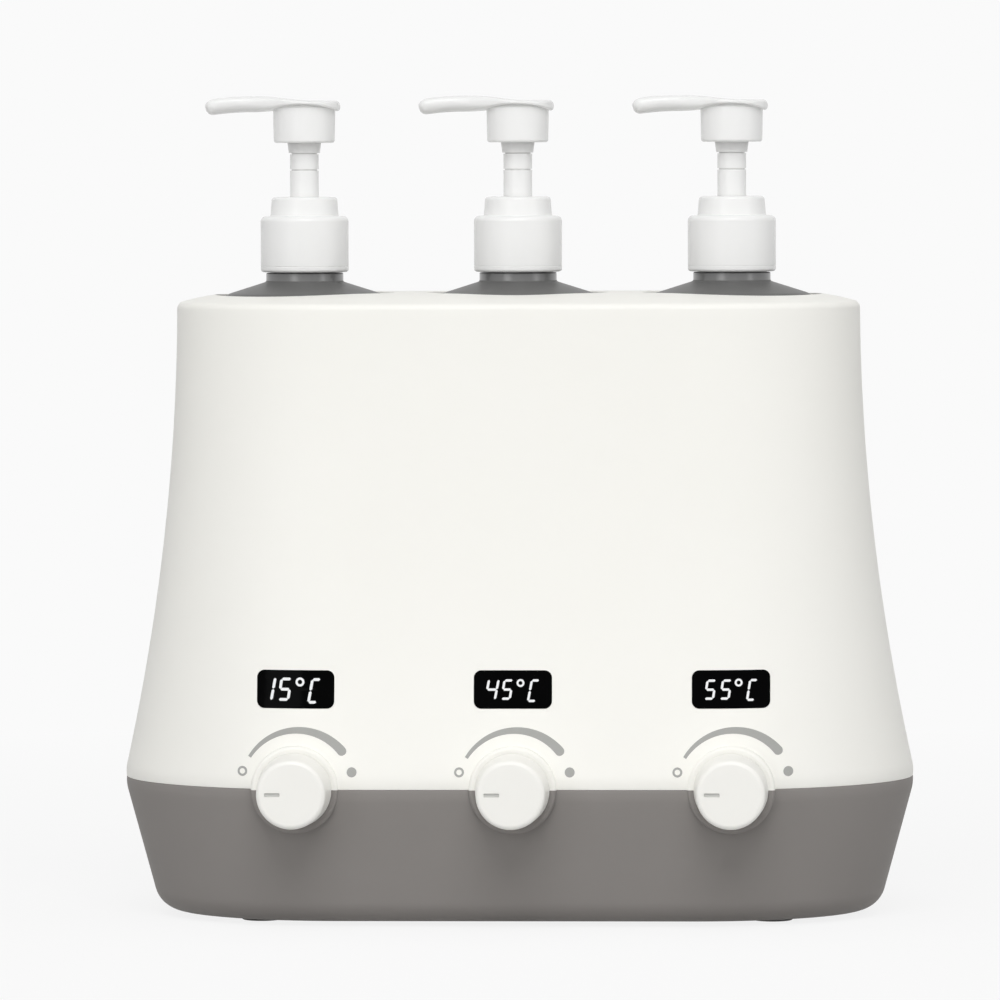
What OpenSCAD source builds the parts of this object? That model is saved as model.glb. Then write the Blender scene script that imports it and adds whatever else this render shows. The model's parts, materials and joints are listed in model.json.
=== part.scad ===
// Warmer for three pump bottles of massage oil.
// Each bottle stands in a heated metal cup under a flared housing, with a display and a dial in front of it.
// Heights named _z are measured up from the underside of the base pan, which its rubber feet lift off the table.

/* [Stations] */
// Distance between neighbouring bottles, centre to centre
pitch = 77.5; // [76:0.5:86]

/* [Bottle] */
// Radius of the bottle's side
bottle_r = 31; // [28:0.5:34]
// Thickness of the bottle's wall
bottle_wall = 1.2; // [0.8:0.1:1.8]
// Height of the side, up to where it would meet the shoulder without rounding
bottle_side_h = 171.5; // [150:0.5:195]
// Slope of the shoulder cone, in degrees
shoulder_slope = 20.8; // [15:0.2:28]
// Rounding between the side and the shoulder
shoulder_round = 6; // [3:0.5:8]
// Rounding of the bottom edge
bottle_foot_round = 3; // [2:0.5:5]
// Depth of the hollow under the bottle
punt_h = 1.5; // [0.5:0.1:3]
// Radius of the plain ring below the screw thread
neck_r = 14; // [13.5:0.1:15]
// Height of the plain ring
neck_h = 3.2; // [2:0.1:5]
// Radius of the neck behind the thread
finish_r = 12.6; // [12.4:0.1:12.8]
// Height of the threaded neck
finish_h = 17; // [15:0.5:20]
// Radius of the neck's bore
mouth_r = 10.6; // [9.5:0.1:11]
// Height of the thread's crest over the neck
thread_crest = 1.1; // [0.9:0.05:1.2]
// Rise of the thread in one turn
thread_pitch = 4.233; // [3.9:0.001:4.5]
// Number of turns of thread
thread_turns = 1.25; // [1:0.05:1.4]

/* [Warming cup] */
// Gap between the bottle and the cup
cup_gap = 1.3; // [0.8:0.1:2]
// Thickness of the cup's side
cup_wall = 1.2; // [0.8:0.1:2]
// Thickness of the cup's floor
cup_floor = 1.2; // [0.8:0.1:2]
// Height of the cup's underside over the pan's underside
cup_base_z = 49; // [46:0.5:60]
// Radius and thickness of the heating disc under the cup
heater_r = 28; // [22:0.5:28.5]
heater_t = 2; // [1.5:0.1:4]
// Size of the temperature sensor's block under the heating disc
sensor_w = 9; // [6:0.5:14]
sensor_t = 4; // [3:0.5:6]

/* [Housing] */
// Thickness of the housing's wall
wall = 2.6; // [2:0.1:3.2]
// Gap between a cup and the sleeve that holds its top
sleeve_gap = 0.25; // [0.15:0.05:0.4]
// Thickness and length of the sleeve
sleeve_wall = 2.2; // [1.6:0.1:2.6]
sleeve_len = 16; // [10:1:30]
// Thickness of the lip over the cup's rim, at the crown's middle
lip_t = 5.6; // [4.6:0.1:8]
// Distance from the outer sleeve to the end of the top
end_margin = 10.4; // [8:0.1:16]
// Distance from a sleeve to the front of the top
front_margin = 12; // [9:0.1:18]
// How far the wall flares out between the top and the seam
flare = 20; // [14:0.5:24]
// Length of the straight stretch of the front
front_flat = 128; // [110:1:140]
// Height of the crown over the corner of the bottle's shoulder
crown_over = 2.5; // [1:0.1:4]
// How far the crown falls to its edge, and over what width
crown_drop = 3.4; // [3:0.1:5]
crown_roll = 24; // [22:0.5:32]
// Rounding between the crown and the wall
rim_round = 1.5; // [1:0.1:4]
// Gap between the bottle and the mouth of its well
mouth_gap = 1.6; // [0.8:0.1:2]
// How far the walls draw in at the seam, and over what height
seam_ease = 0.9; // [0.4:0.1:1.4]
seam_ease_h = 5; // [3:0.5:8]

/* [Base pan] */
// Height of the seam between the pan and the housing
seam_z = 48.8; // [46:0.2:56]
// Slope of the pan's side from the vertical, in degrees
pan_slope = 15.2; // [10:0.2:20]
// Rounding of the pan's bottom edge
pan_round = 9; // [6:0.5:12]
// Thickness of the pan's floor and side
pan_floor = 3; // [2:0.1:4]
// Thickness, height and gap of the tongue that enters the housing
tongue_t = 1.2; // [0.8:0.1:1.6]
tongue_h = 3; // [2:0.5:5]
tongue_gap = 0.25; // [0.15:0.05:0.4]
// Thickness of the cradle round each cup, and gap between its ledge and the heating disc
cradle_wall = 2.3; // [1.6:0.1:2.8]
cradle_gap = 0.8; // [0.5:0.1:1]
// How far the cup stands in its cradle
cradle_grip = 8; // [5:0.5:12]

/* [Feet and screws] */
// Height of the rubber feet under the pan, and depth of their pockets
foot_h = 1.5; // [1:0.1:4]
foot_sink = 1.2; // [0.8:0.1:1.8]
// Radius of a foot
foot_r = 7.5; // [5:0.5:9]
// Place of the feet from the middle
foot_x = 92; // [80:1:96]
foot_y = 26; // [20:0.5:28]
// Radius of a case screw's shank and head, and height of the head
screw_r = 1.45; // [1.2:0.05:1.7]
screw_head_r = 2.8; // [2.4:0.1:3]
screw_head_h = 1.9; // [1.4:0.1:2.4]
// Distance of the screws behind and in front of the row: the four at the ends, and the two at the back
screw_y = 24; // [20:0.5:25]
rear_screw_y = 34; // [30:0.5:37]
// Radius of the posts that the screws join
post_r = 4.6; // [4.2:0.1:5]
// How far the screw reaches into the housing's post
screw_bite = 9; // [6:0.5:12]
// How far the seat of its head lies below the seam
screw_seat = 6; // [4:0.5:10]

/* [Dials] */
// Radius of the round boss behind a knob, and how far it stands out of the seam
boss_r = 15.6; // [14.6:0.1:17]
boss_proud = 2; // [1:0.1:4]
// Rounding of the boss's edge
boss_round = 1; // [0.5:0.1:1.5]
// Gap between the boss and the knob
knob_gap = 0.6; // [0.4:0.1:1.2]
// Radius of the knob at its back and at its front, and its length
knob_r = 13.2; // [12:0.1:14]
knob_front_r = 12.3; // [11:0.1:13]
knob_l = 20; // [14:0.5:24]
// Rounding of the knob's front edge
knob_round = 1.8; // [0.8:0.1:2]
// Thickness of the knob's shell
knob_wall = 1.8; // [1.4:0.1:2.4]
// Length, width and depth of the pointer groove, and its distance from the axis
pointer_l = 5.6; // [4:0.2:7]
pointer_w = 1.4; // [0.6:0.1:1.8]
pointer_d = 0.7; // [0.3:0.1:0.8]
pointer_from = 3.8; // [2:0.2:5]
// Radius of the dial's shaft
shaft_r = 3; // [2.5:0.1:3.2]
// Width and depth of the dial's rotary sensor, and length of its bush
sensor_body_w = 16; // [14:0.5:18]
sensor_body_d = 9; // [8:0.5:10]
bush_l = 6; // [4:0.5:7]

/* [Displays] */
// Width, height and corner radius of a display window
window_w = 27.7; // [24:0.1:32]
window_h = 13.4; // [11:0.2:15]
window_round = 2.6; // [1.5:0.1:3.5]
// Height of the window's middle
window_z = 84.1; // [80:0.1:100]
// Thickness of the window pane, and the gap round it
pane_t = 1.8; // [1.2:0.1:2]
pane_gap = 0.1; // [0.05:0.05:0.2]
// Width of the ledge behind the pane
pane_ledge = 1.3; // [0.8:0.1:2]
// Size of the display block behind the pane
display_w = 30; // [28:0.5:34]
display_h = 15; // [13:0.5:18]

/* [Control board] */
// Distance from the outer dials' shafts to the ends of the board
board_end = 10.5; // [9.5:0.5:11.5]
// Thickness and top of the board
board_t = 1.6; // [1.2:0.1:2]
board_top_z = 96; // [94:1:110]
// Gap between the cradles and the board
board_gap = 4.4; // [3:0.2:5]
// Width, depth and height of a relay on the board, and height of its foot
relay_w = 15; // [12:0.5:18]
relay_d = 10; // [8:0.5:11]
relay_h = 18; // [14:0.5:20]
relay_z = 62; // [60:1:70]
// Width, depth and height of the power block
supply_w = 22; // [18:0.5:24]
supply_d = 9; // [7:0.5:10]
supply_h = 18; // [14:0.5:20]
// Radius and height of the capacitor
capacitor_r = 5; // [4:0.5:5.5]
capacitor_h = 20; // [16:1:22]
// Height of the feet of the power block and the capacitor
supply_z = 25; // [22:1:28]

/* [Mains inlet] */
// Width and height of the inlet's frame
inlet_w = 30; // [26:0.5:36]
inlet_h = 18; // [16:0.5:20]
// Height of the inlet's middle
inlet_z = 24; // [22:0.5:27]
// Width, height and depth of the socket
socket_w = 16.6; // [16:0.1:17]
socket_h = 8.8; // [8.4:0.1:9]
socket_d = 11.5; // [10:0.1:12]
// Radius, length and spacing of the pins
pin_r = 1.2; // [1:0.05:1.3]
pin_l = 9.8; // [8:0.1:10]
pin_pitch = 8.6; // [8:0.1:9]

/* [Pump] */
// Travel of the pump's head
stroke = 15; // [12:0.5:18]
// Radius and side height of the closure, and the radius at its lower edge
collar_r = 15.95; // [15.6:0.05:17]
collar_foot_r = 14.9; // [14.8:0.05:15.5]
collar_top_t = 1.55; // [1.2:0.05:2.2]
// Radius of the closure's upper ring at its foot and top, and its height
collar_ring_r = 12.35; // [12.2:0.05:13]
collar_ring_top_r = 11.95; // [11.2:0.05:12.1]
collar_ring_h = 6.9; // [5:0.1:9]
// Clear gap that lets the closure turn
turn_gap = 0.3; // [0.2:0.05:0.4]
// Thickness of the sealing gasket
gasket_t = 1; // [0.6:0.1:1.6]
// Radius and thickness of the pump chamber's flange
flange_r = 12.4; // [11.6:0.1:12.5]
flange_t = 1; // [0.8:0.1:1.6]
// Outer and inner radius of the pump chamber, and its length
chamber_r = 7.6; // [7.3:0.1:8.4]
bore_r = 6.3; // [6:0.05:6.5]
chamber_l = 58; // [50:0.5:70]
// Radius of the check ball, and of the hole that it closes
ball_r = 2.4; // [2.2:0.1:2.6]
valve_r = 1.6; // [1.2:0.1:1.8]
// Outer and inner radius of the dip tube
dip_r = 3; // [2.6:0.1:3.2]
dip_bore_r = 2.2; // [1.6:0.1:2.3]
// Gap between the dip tube and the bottle's floor
dip_gap = 3; // [2:0.5:6]
// Radius of the stem, and of its rod below the piston
stem_r = 5.2; // [5:0.05:5.4]
rod_r = 3.6; // [3.2:0.1:3.8]
// Radius of the stem's bore
stem_bore_r = 1.6; // [1.2:0.1:1.8]
// Height of the piston
piston_h = 7; // [5:0.5:9]
// Running clearance of the piston, the guide and the stem
slip = 0.07; // [0.04:0.01:0.09]
// Wire radius, turns and mean radius of the return spring
wire_r = 0.4; // [0.3:0.05:0.5]
spring_turns = 8; // [6:1:10]
spring_r = 4.4; // [4.2:0.1:4.8]

/* [Pump head] */
// Radius of the skirt under the thumb pad, and its height
skirt_r = 11.3; // [10.8:0.1:12]
skirt_h = 11.6; // [9:0.1:14]
// Thickness of the skirt
skirt_t = 1.4; // [1:0.1:2]
// Radius of the thumb pad, and its thickness at the middle
pad_r = 13.1; // [12.6:0.1:14]
pad_t = 1.7; // [1.5:0.1:2.4]
// How far the pad's underside arches up over the skirt
pad_arch = 2; // [1:0.1:2.5]
// Reach of the spout from the pump's axis
spout_reach = 36; // [32:0.5:37]
// Half the width of the spout at its tip and at its root
spout_tip_w = 4; // [3.5:0.1:4.5]
spout_root_w = 5.4; // [4.8:0.1:6]
// How far the spout's back rises over the pad, and how far its tip falls
spout_rise = 1.6; // [1:0.1:2]
spout_fall = 1.5; // [1:0.1:2.8]
// Radius of the hub under the pad, at its foot and at the skirt
hub_foot_r = 5.6; // [5.4:0.05:5.8]
hub_r = 6.1; // [6:0.1:6.6]
// How far the hub reaches below the skirt, and height of the taper at its foot
hub_drop = 4.1; // [3:0.1:5]
hub_taper = 1.3; // [0.8:0.1:2]
// Gap that is left under the hub when the pump is pressed
press_gap = 0.5; // [0.4:0.1:2]

/* [Hidden] */
STATIONS = ["left", "centre", "right"];
SHARED = ["housing", "base_pan", "feet", "case_screws", "control_board", "dial_sensors", "cup_sensors",
    "mains_inlet", "inlet_pins"];
STATION_PARTS = ["cup", "heater", "display", "window", "knob", "knob_shaft", "bottle", "gasket", "closure",
    "pump_chamber", "stem_guide", "dip_tube", "check_ball", "spring", "piston", "stem", "pump_head"];

// Smoothness of round faces, and the steps of the housing's lofts
$fn = 64;
ARC_STEPS = 12;
WALL_STEPS = 9;
ROLL_STEPS = 5;
ROUND_STEPS = 4;
// Depth by which one solid enters another that it is fused to, and by which a cut passes a face
FUSE = 0.5;
PASS = 1;
// Gap between pieces of one body that seat on each other
SEAT = 0.05;

// The cups and what they set
cup_in_r = bottle_r + cup_gap;
cup_out_r = cup_in_r + cup_wall;
seat_z = cup_base_z + cup_floor;
recess_r = cup_out_r + sleeve_gap;
sleeve_r = recess_r + sleeve_wall;
cradle_r = cup_out_r + sleeve_gap + cradle_wall;

// The bottle and its neck
corner_z = seat_z + bottle_side_h;
neck_z = corner_z + (bottle_r - neck_r) * tan(shoulder_slope);
finish_z = neck_z + neck_h;
seal_z = finish_z + finish_h;

// The housing
crown_z = corner_z + crown_over;
lip_z = crown_z - lip_t;
cup_top_z = lip_z - 0.3;
top_half_w = pitch + sleeve_r + end_margin;
top_half_d = sleeve_r + front_margin;
seam_half_w = top_half_w + flare;
seam_half_d = top_half_d + flare;
roll_slope = atan(1.5 * crown_drop / crown_roll);
rim_in = rim_round * (1 - sin(roll_slope));
rim_z = crown_at(rim_in) - rim_round * cos(roll_slope);

// The pump
flange_z = seal_z + gasket_t;
flange_top_z = flange_z + flange_t;
collar_z = finish_z + turn_gap;
shoulder_z = flange_top_z + SEAT + collar_top_t;
collar_top_z = shoulder_z + collar_ring_h;
guide_top_z = collar_top_z - collar_top_t - turn_gap;
guide_foot_z = flange_top_z - 7;
piston_top_z = guide_foot_z - turn_gap;
piston_foot_z = piston_top_z - piston_h;
rod_foot_z = piston_foot_z - turn_gap - 2;
chamber_foot_z = flange_top_z - chamber_l;
step_z = chamber_foot_z + 1.2;
cage_r = ball_r + 0.9;
cage_foot_z = chamber_foot_z - 10;
socket_foot_z = cage_foot_z - 10;
hub_z = collar_top_z + press_gap + stroke;
head_z = hub_z + hub_drop;
pad_edge_z = head_z + skirt_h;
pad_top_z = pad_edge_z + pad_arch + pad_t;

// The dials
knob_hub_r = shaft_r + 2;
board_w = 2 * (pitch + board_end);
board_y = -(cradle_r + board_gap);
board_front_y = board_y - board_t;

// Depth of the whole, which places the frame's origin under the middle of its box
front_reach = seam_half_d - seam_ease + boss_proud + knob_gap + knob_l;
back_reach = seam_half_d - seam_ease;
row_y = (front_reach - back_reach) / 2;

function station_x(i) = (i - 1) * pitch;

// Places of the case screws: four at the ends and two behind the middle cup
screw_places = [for (sx = [-1, 1]) each [
    [sx * (pitch + cradle_r - 1.2), -screw_y], [sx * (pitch + cradle_r - 1.2), screw_y], [sx * pitch / 2, rear_screw_y]]];

// Outline of the body at half-width a and half-depth b: a straight front and back with elliptic ends
function outline(a, b) = [
    for (q = [0:3]) for (k = [(q == 2 ? 1 : 0):(q == 3 ? ARC_STEPS - 1 : ARC_STEPS)])
        let (th = 90 * (q + k / ARC_STEPS), side = (q == 0 || q == 3) ? 1 : -1)
            [side * front_flat / 2 + (a - front_flat / 2) * cos(th), b * sin(th)]];

// A ring of points of that outline at height z, drawn in by d
function ring(a, b, d, z) = [for (p = outline(a - d, b - d)) [p.x, p.y, z]];

// How far the wall stands out at height z over its place at the top
function flared(z) = flare * pow((crown_z - z) / (crown_z - seam_z), 2);

// Ring of the wall at height z, drawn in by d
function wall_ring(d, z) = ring(top_half_w + flared(z), top_half_d + flared(z), d, z);

// Ideal front face of the wall at x and z, as a distance in front of the bottles
function front_at(x, z) =
    let (a = top_half_w + flared(z), b = top_half_d + flared(z), over = max(0, abs(x) - front_flat / 2))
        b * sqrt(1 - pow(over / (a - front_flat / 2), 2));

// Height of the crown at distance d from the edge of the top
function crown_at(d) = crown_z - crown_drop * pow(1 - min(d, crown_roll) / crown_roll, 1.5);

// How far a wall is drawn in at height h from the seam
function eased(h) = h < seam_ease_h ? seam_ease * pow(1 - h / seam_ease_h, 2) : 0;

// Solid through a stack of rings, from the lowest to the highest
module loft(rings) {
    n = len(rings[0]);
    m = len(rings);
    sides = [for (i = [0:m - 2]) for (j = [0:n - 1]) let (p = i * n + j, q = i * n + (j + 1) % n)
        each [[p, p + n, q + n], [p, q + n, q]]];
    polyhedron([for (r = rings) each r],
        concat([[for (j = [0:n - 1]) j]], sides, [[for (j = [n - 1:-1:0]) (m - 1) * n + j]]), convexity = 8);
}

// Points of an arc, for the profile of a round part
function arc(cx, cz, r, from, to, steps = 6) =
    [for (i = [0:steps]) let (t = from + (to - from) * i / steps) [cx + r * cos(t), cz + r * sin(t)]];

// Round part turned about the vertical axis
module turned(profile) rotate_extrude() polygon(profile);

// Ring or tube between two radii and two heights
module tube(r_out, r_in, z_low, z_high) {
    translate([0, 0, z_low]) difference() {
        cylinder(r = r_out, h = z_high - z_low);
        translate([0, 0, -PASS]) cylinder(r = r_in, h = z_high - z_low + 2 * PASS);
    }
}

// Rod between two heights
module rod(r, z_low, z_high) translate([0, 0, z_low]) cylinder(r = r, h = z_high - z_low);

// Rod at a place p of the plan
module rod_at(p, r, z_low, z_high) translate([p.x, p.y, 0]) rod(r, z_low, z_high);

// Screw thread: a ridge of pitch thread_pitch from the root radius to the crest radius, thin at both ends
module thread(root, crest, z_start) {
    steps = round(thread_turns * 24);
    wide = 1;
    thin = 0.45;
    function swell(i) = min(1, i / 3, (steps - i) / 3);
    rings = [for (i = [0:steps]) let (
        t = 360 * thread_turns * i / steps,
        z = z_start + thread_pitch * t / 360,
        top = root + (crest - root) * (0.45 + 0.55 * swell(i)))
        [for (p = [[root, z - wide], [top, z - thin], [top, z + thin], [root, z + wide]])
            [p[0] * cos(t), p[0] * sin(t), p[1]]]];
    faces_out = crest > root;
    m = len(rings);
    sides = [for (i = [0:m - 2]) for (j = [0:3]) let (p = i * 4 + j, q = i * 4 + (j + 1) % 4)
        each [[p, q, q + 4], [p, q + 4, p + 4]]];
    faces = concat([[3, 2, 1, 0]], sides, [[for (j = [0:3]) (m - 1) * 4 + j]]);
    polyhedron([for (r = rings) each r],
        faces_out ? faces : [for (f = faces) [for (k = [len(f) - 1:-1:0]) f[k]]], convexity = 6);
}

// Rounded rectangle lying in the front view, between two distances in front of the bottles
module front_plate(w, h, r, y_front, y_back) {
    translate([0, -y_back, 0]) rotate([90, 0, 0]) linear_extrude(y_front - y_back) {
        square([w - 2 * r, h], center = true);
        square([w, h - 2 * r], center = true);
        for (sx = [-1, 1], sy = [-1, 1]) translate([sx * (w / 2 - r), sy * (h / 2 - r)]) circle(r = r);
    }
}

// Heights of the rings of the housing's wall
wall_zs = [for (i = [0:WALL_STEPS]) seam_z + seam_ease_h + (rim_z - seam_z - seam_ease_h) * i / WALL_STEPS];

// The housing without its hollow: eased foot, flared wall, rounded rim and rolled crown
module housing_blank() {
    loft(concat(
        [for (i = [0:2]) let (h = seam_ease_h * i / 3) wall_ring(eased(h), seam_z + h)],
        [for (z = wall_zs) wall_ring(0, z)],
        [for (i = [1:ROUND_STEPS]) let (t = (90 - roll_slope) * i / ROUND_STEPS)
            ring(top_half_w, top_half_d, rim_round * (1 - cos(t)), rim_z + rim_round * sin(t))],
        [for (i = [1:ROLL_STEPS]) let (d = rim_in + (crown_roll - rim_in) * i / ROLL_STEPS)
            ring(top_half_w, top_half_d, d, crown_at(d))]));
}

// The space inside the housing
module housing_hollow() {
    loft(concat(
        [wall_ring(wall, seam_z - PASS)],
        [for (z = wall_zs) if (z < rim_z - 1) wall_ring(wall, z)],
        [for (i = [0:ROLL_STEPS]) let (d = wall + (crown_roll - wall) * i / ROLL_STEPS)
            ring(top_half_w, top_half_d, d, crown_at(d) - wall)]));
}

// A stretch of the wall's face round the windows, moved back by depth
module wall_band(depth) {
    step = wall_zs[1] - wall_zs[0];
    translate([0, depth, 0]) loft([for (z = wall_zs) if (abs(z - window_z) < 1.5 * step)
        [for (p = wall_ring(0, z)) if (p.y < FUSE) p]]);
}

// Front face of the boss behind knob i
function boss_y(i) = front_at(station_x(i), seam_z) - seam_ease + boss_proud;

// The round boss behind knob i, from inside the wall to its rounded front edge
module boss(i) {
    back = seam_half_d - 22;
    l = boss_y(i) - back;
    translate([station_x(i), -back, seam_z]) rotate([90, 0, 0])
        turned(concat([[0, 0], [boss_r, 0]], arc(boss_r - boss_round, l - boss_round, boss_round, 0, 90), [[0, l]]));
}

// The hollow behind the boss, and the hole for the dial's shaft
module boss_hollow(i) {
    translate([station_x(i), -boss_y(i), seam_z]) rotate([-90, 0, 0]) {
        translate([0, 0, wall]) cylinder(r = boss_r - wall, h = boss_y(i) + board_front_y - wall - PASS);
        translate([0, 0, -PASS]) cylinder(r = shaft_r + 1, h = wall + 2 * PASS);
    }
}

// Everything above or below the seam
module half_space(side) {
    big = 4 * seam_half_w;
    translate([0, 0, seam_z + side * big / 2]) cube(big, center = true);
}

// Post for a case screw that hangs in the housing, with the rib that ties it to the wall
module hanging_post(p) {
    top = seam_z + screw_bite + 4;
    rib_z = seam_z + tongue_h + FUSE;
    at_end = abs(p.x) > pitch;
    rod_at(p, post_r, seam_z, top);
    translate([p.x, p.y, rib_z]) rotate(at_end ? (p.x > 0 ? 0 : 180) : 90)
        translate([0, -1, 0]) cube([seam_half_w, 2, top - rib_z]);
}

// Upper housing: a flared shell with three wells, three windows and the upper half of each boss
module housing() {
    color([0.965, 0.965, 0.945]) difference() {
        union() {
            housing_blank();
            intersection() {
                for (i = [0:2]) boss(i);
                half_space(1);
            }
        }
        difference() {
            housing_hollow();
            for (i = [0:2]) translate([station_x(i), 0, 0]) rod(sleeve_r, cup_top_z - sleeve_len, crown_z + PASS);
            for (p = screw_places) hanging_post(p);
        }
        for (i = [0:2]) translate([station_x(i), 0, 0]) {
            rod(bottle_r + mouth_gap, lip_z - PASS, crown_z + PASS);
            rod(recess_r, cup_top_z - sleeve_len - PASS, lip_z);
        }
        for (i = [0:2]) boss_hollow(i);
        for (i = [0:2]) window_cut(i);
        for (p = screw_places) rod_at(p, screw_r + SEAT, seam_z - PASS, seam_z + screw_bite + 1);
    }
}

// Stepped hole for the pane of display i: a pocket that follows the wall's face, and a smaller hole behind its ledge
module window_cut(i) {
    out = front_at(0, window_z) + 4;
    back = front_at(station_x(i) + (i - 1) * window_w / 2, window_z) - 3 * wall;
    difference() {
        translate([station_x(i), 0, window_z])
            front_plate(window_w + 2 * pane_gap, window_h + 2 * pane_gap, window_round + pane_gap, out, back);
        wall_band(pane_t + SEAT);
    }
    translate([station_x(i), 0, window_z])
        front_plate(window_w - 2 * pane_ledge, window_h - 2 * pane_ledge, window_round - pane_ledge / 2, out, back);
}

// Smoked pane of display i, flush with the wall
module window(i) {
    out = front_at(0, window_z) + 4;
    back = front_at(station_x(i) + (i - 1) * window_w / 2, window_z) - 3 * wall;
    color([0.03, 0.03, 0.035]) difference() {
        intersection() {
            translate([station_x(i), 0, window_z]) front_plate(window_w, window_h, window_round, out, back);
            wall_band(0);
        }
        wall_band(pane_t);
    }
}

// Half-width of the pan's side below the seam, drawn in by its slope
function pan_in(z) = (seam_z - z) * tan(pan_slope);
pan_foot_in = pan_in(pan_round) + pan_round / cos(pan_slope);

// Rings of the pan's outer face (t = 0) or of its inside (t = its thickness)
function pan_rings(t) = concat(
    [for (i = [0:ROUND_STEPS + 1]) let (u = -90 + (90 - pan_slope) * i / (ROUND_STEPS + 1))
        ring(seam_half_w, seam_half_d, pan_foot_in - (pan_round - t) * cos(u), pan_round + (pan_round - t) * sin(u))],
    [for (z = [(pan_round + seam_z) / 2, seam_z - seam_ease_h])
        ring(seam_half_w, seam_half_d, pan_in(z) + t / cos(pan_slope), z)]);

// The pan without its hollow
module pan_blank() {
    loft(concat(pan_rings(0), [for (i = [1:3]) let (h = seam_ease_h * (3 - i) / 3)
        ring(seam_half_w, seam_half_d, pan_in(seam_z - h) + eased(h), seam_z - h)]));
}

// The space inside the pan
module pan_hollow() {
    loft(concat(pan_rings(pan_floor), [ring(seam_half_w, seam_half_d, pan_floor / cos(pan_slope), seam_z + PASS)]));
}

// Tongue round the pan's rim that enters the housing
module tongue() {
    foot = seam_z - 4;
    outer = wall + tongue_gap;
    rings_out = [ring(seam_half_w, seam_half_d, pan_in(foot) + pan_floor - FUSE, foot),
        wall_ring(outer - FUSE, seam_z - FUSE), wall_ring(outer, seam_z), wall_ring(outer, seam_z + tongue_h)];
    rings_in = [wall_ring(outer + tongue_t, seam_z + tongue_h + PASS), wall_ring(outer + tongue_t, seam_z),
        ring(seam_half_w, seam_half_d, outer + tongue_t, foot - PASS)];
    difference() {
        loft(rings_out);
        loft([for (i = [len(rings_in) - 1:-1:0]) rings_in[i]]);
    }
}

// Slotted block on the pan's floor that holds the board's lower edge
board_rail_h = 8;
module board_rail() {
    translate([-4, board_y - board_t / 2 - 3, pan_floor - FUSE]) difference() {
        cube([8, 6, board_rail_h + FUSE]);
        translate([-PASS, 3 - board_t / 2 - SEAT, FUSE + 2]) cube([8 + 2 * PASS, board_t + 2 * SEAT, board_rail_h]);
    }
}

// Base pan: lower shell with a cradle for each cup, screw posts, board rails, foot pockets and the lower half bosses
module base_pan() {
    color([0.5, 0.485, 0.47]) difference() {
        union() {
            difference() {
                union() {
                    pan_blank();
                    intersection() {
                        for (i = [0:2]) boss(i);
                        half_space(-1);
                    }
                }
                pan_hollow();
                for (i = [0:2]) boss_hollow(i);
            }
            difference() {
                tongue();
                for (i = [0:2]) boss_hollow(i);
            }
            for (i = [0:2]) translate([station_x(i), 0, 0]) rod(cradle_r, pan_floor - FUSE, cup_base_z + cradle_grip);
            for (p = screw_places) rod_at(p, post_r, pan_floor - FUSE, seam_z);
            for (x = [-0.44, 0, 0.44]) translate([x * board_w, 0, 0]) board_rail();
            inlet_bay();
        }
        for (i = [0:2]) translate([station_x(i), 0, 0]) {
            rod(cup_out_r + sleeve_gap, cup_base_z, cup_base_z + cradle_grip + PASS);
            rod(heater_r + cradle_gap, pan_floor, cup_base_z + PASS);
        }
        for (p = screw_places) {
            rod_at(p, screw_r + 0.2, -PASS, seam_z + PASS);
            rod_at(p, screw_head_r + 0.4, -PASS, seam_z - screw_seat);
        }
        for (sx = [-1, 1], sy = [-1, 1]) rod_at([sx * foot_x, sy * foot_y], foot_r + 0.1, -PASS, foot_sink);
        inlet_opening();
    }
}

// Back face of the inlet's frame
inlet_y = seam_half_d - pan_in(inlet_z + inlet_h / 2) + 0.5;
inlet_back_y = inlet_y - socket_d - 3;

// Collar of the pan round the inlet, with a flat upright face
module inlet_bay() {
    translate([0, 0, inlet_z]) rotate([0, 0, 180])
        front_plate(inlet_w + 6, inlet_h + 6, 4, inlet_y - 0.6, inlet_back_y + 4);
}

// Hole through the collar that the inlet's body fills
module inlet_opening() {
    translate([0, 0, inlet_z]) rotate([0, 0, 180]) {
        front_plate(socket_w + 5.2, socket_h + 5.2, 2.1, inlet_y + PASS, inlet_back_y);
        front_plate(inlet_w + 0.2, inlet_h + 0.2, 2.6, inlet_y + PASS, inlet_y - 2.6);
    }
}

// Mains inlet: a framed socket for a two-pin lead
module mains_inlet() {
    color([0.08, 0.08, 0.085]) translate([0, 0, inlet_z]) rotate([0, 0, 180]) difference() {
        union() {
            front_plate(inlet_w, inlet_h, 2.5, inlet_y, inlet_y - 2.5);
            front_plate(socket_w + 5, socket_h + 5, 2, inlet_y - 2, inlet_back_y);
        }
        front_plate(socket_w, socket_h, socket_h / 2 - 0.05, inlet_y + PASS, inlet_y - socket_d);
        for (sx = [-1, 1]) translate([sx * pin_pitch / 2, 0, 0]) rotate([90, 0, 0])
            translate([0, 0, inlet_back_y - PASS]) cylinder(r = pin_r + SEAT, h = socket_d);
    }
}

// Pins of the inlet, with solder tails behind
module inlet_pins() {
    tip = inlet_y - socket_d + pin_l;
    color([0.78, 0.76, 0.7]) for (sx = [-1, 1]) translate([sx * pin_pitch / 2, tip, inlet_z]) rotate([90, 0, 0])
        turned(concat([[0, tip - inlet_back_y + 3], [0, 0]], arc(pin_r - 0.6, 0.6, 0.6, -90, 0, 4),
            [[pin_r, tip - inlet_back_y + 3]]));
}

// Rubber feet, one solid each
module feet() {
    color([0.16, 0.16, 0.17]) for (sx = [-1, 1], sy = [-1, 1]) translate([sx * foot_x, sy * foot_y, 0])
        turned([[0, -foot_h], [foot_r - 0.8, -foot_h], [foot_r, 0.8 - foot_h], [foot_r, foot_sink], [0, foot_sink]]);
}

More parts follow.
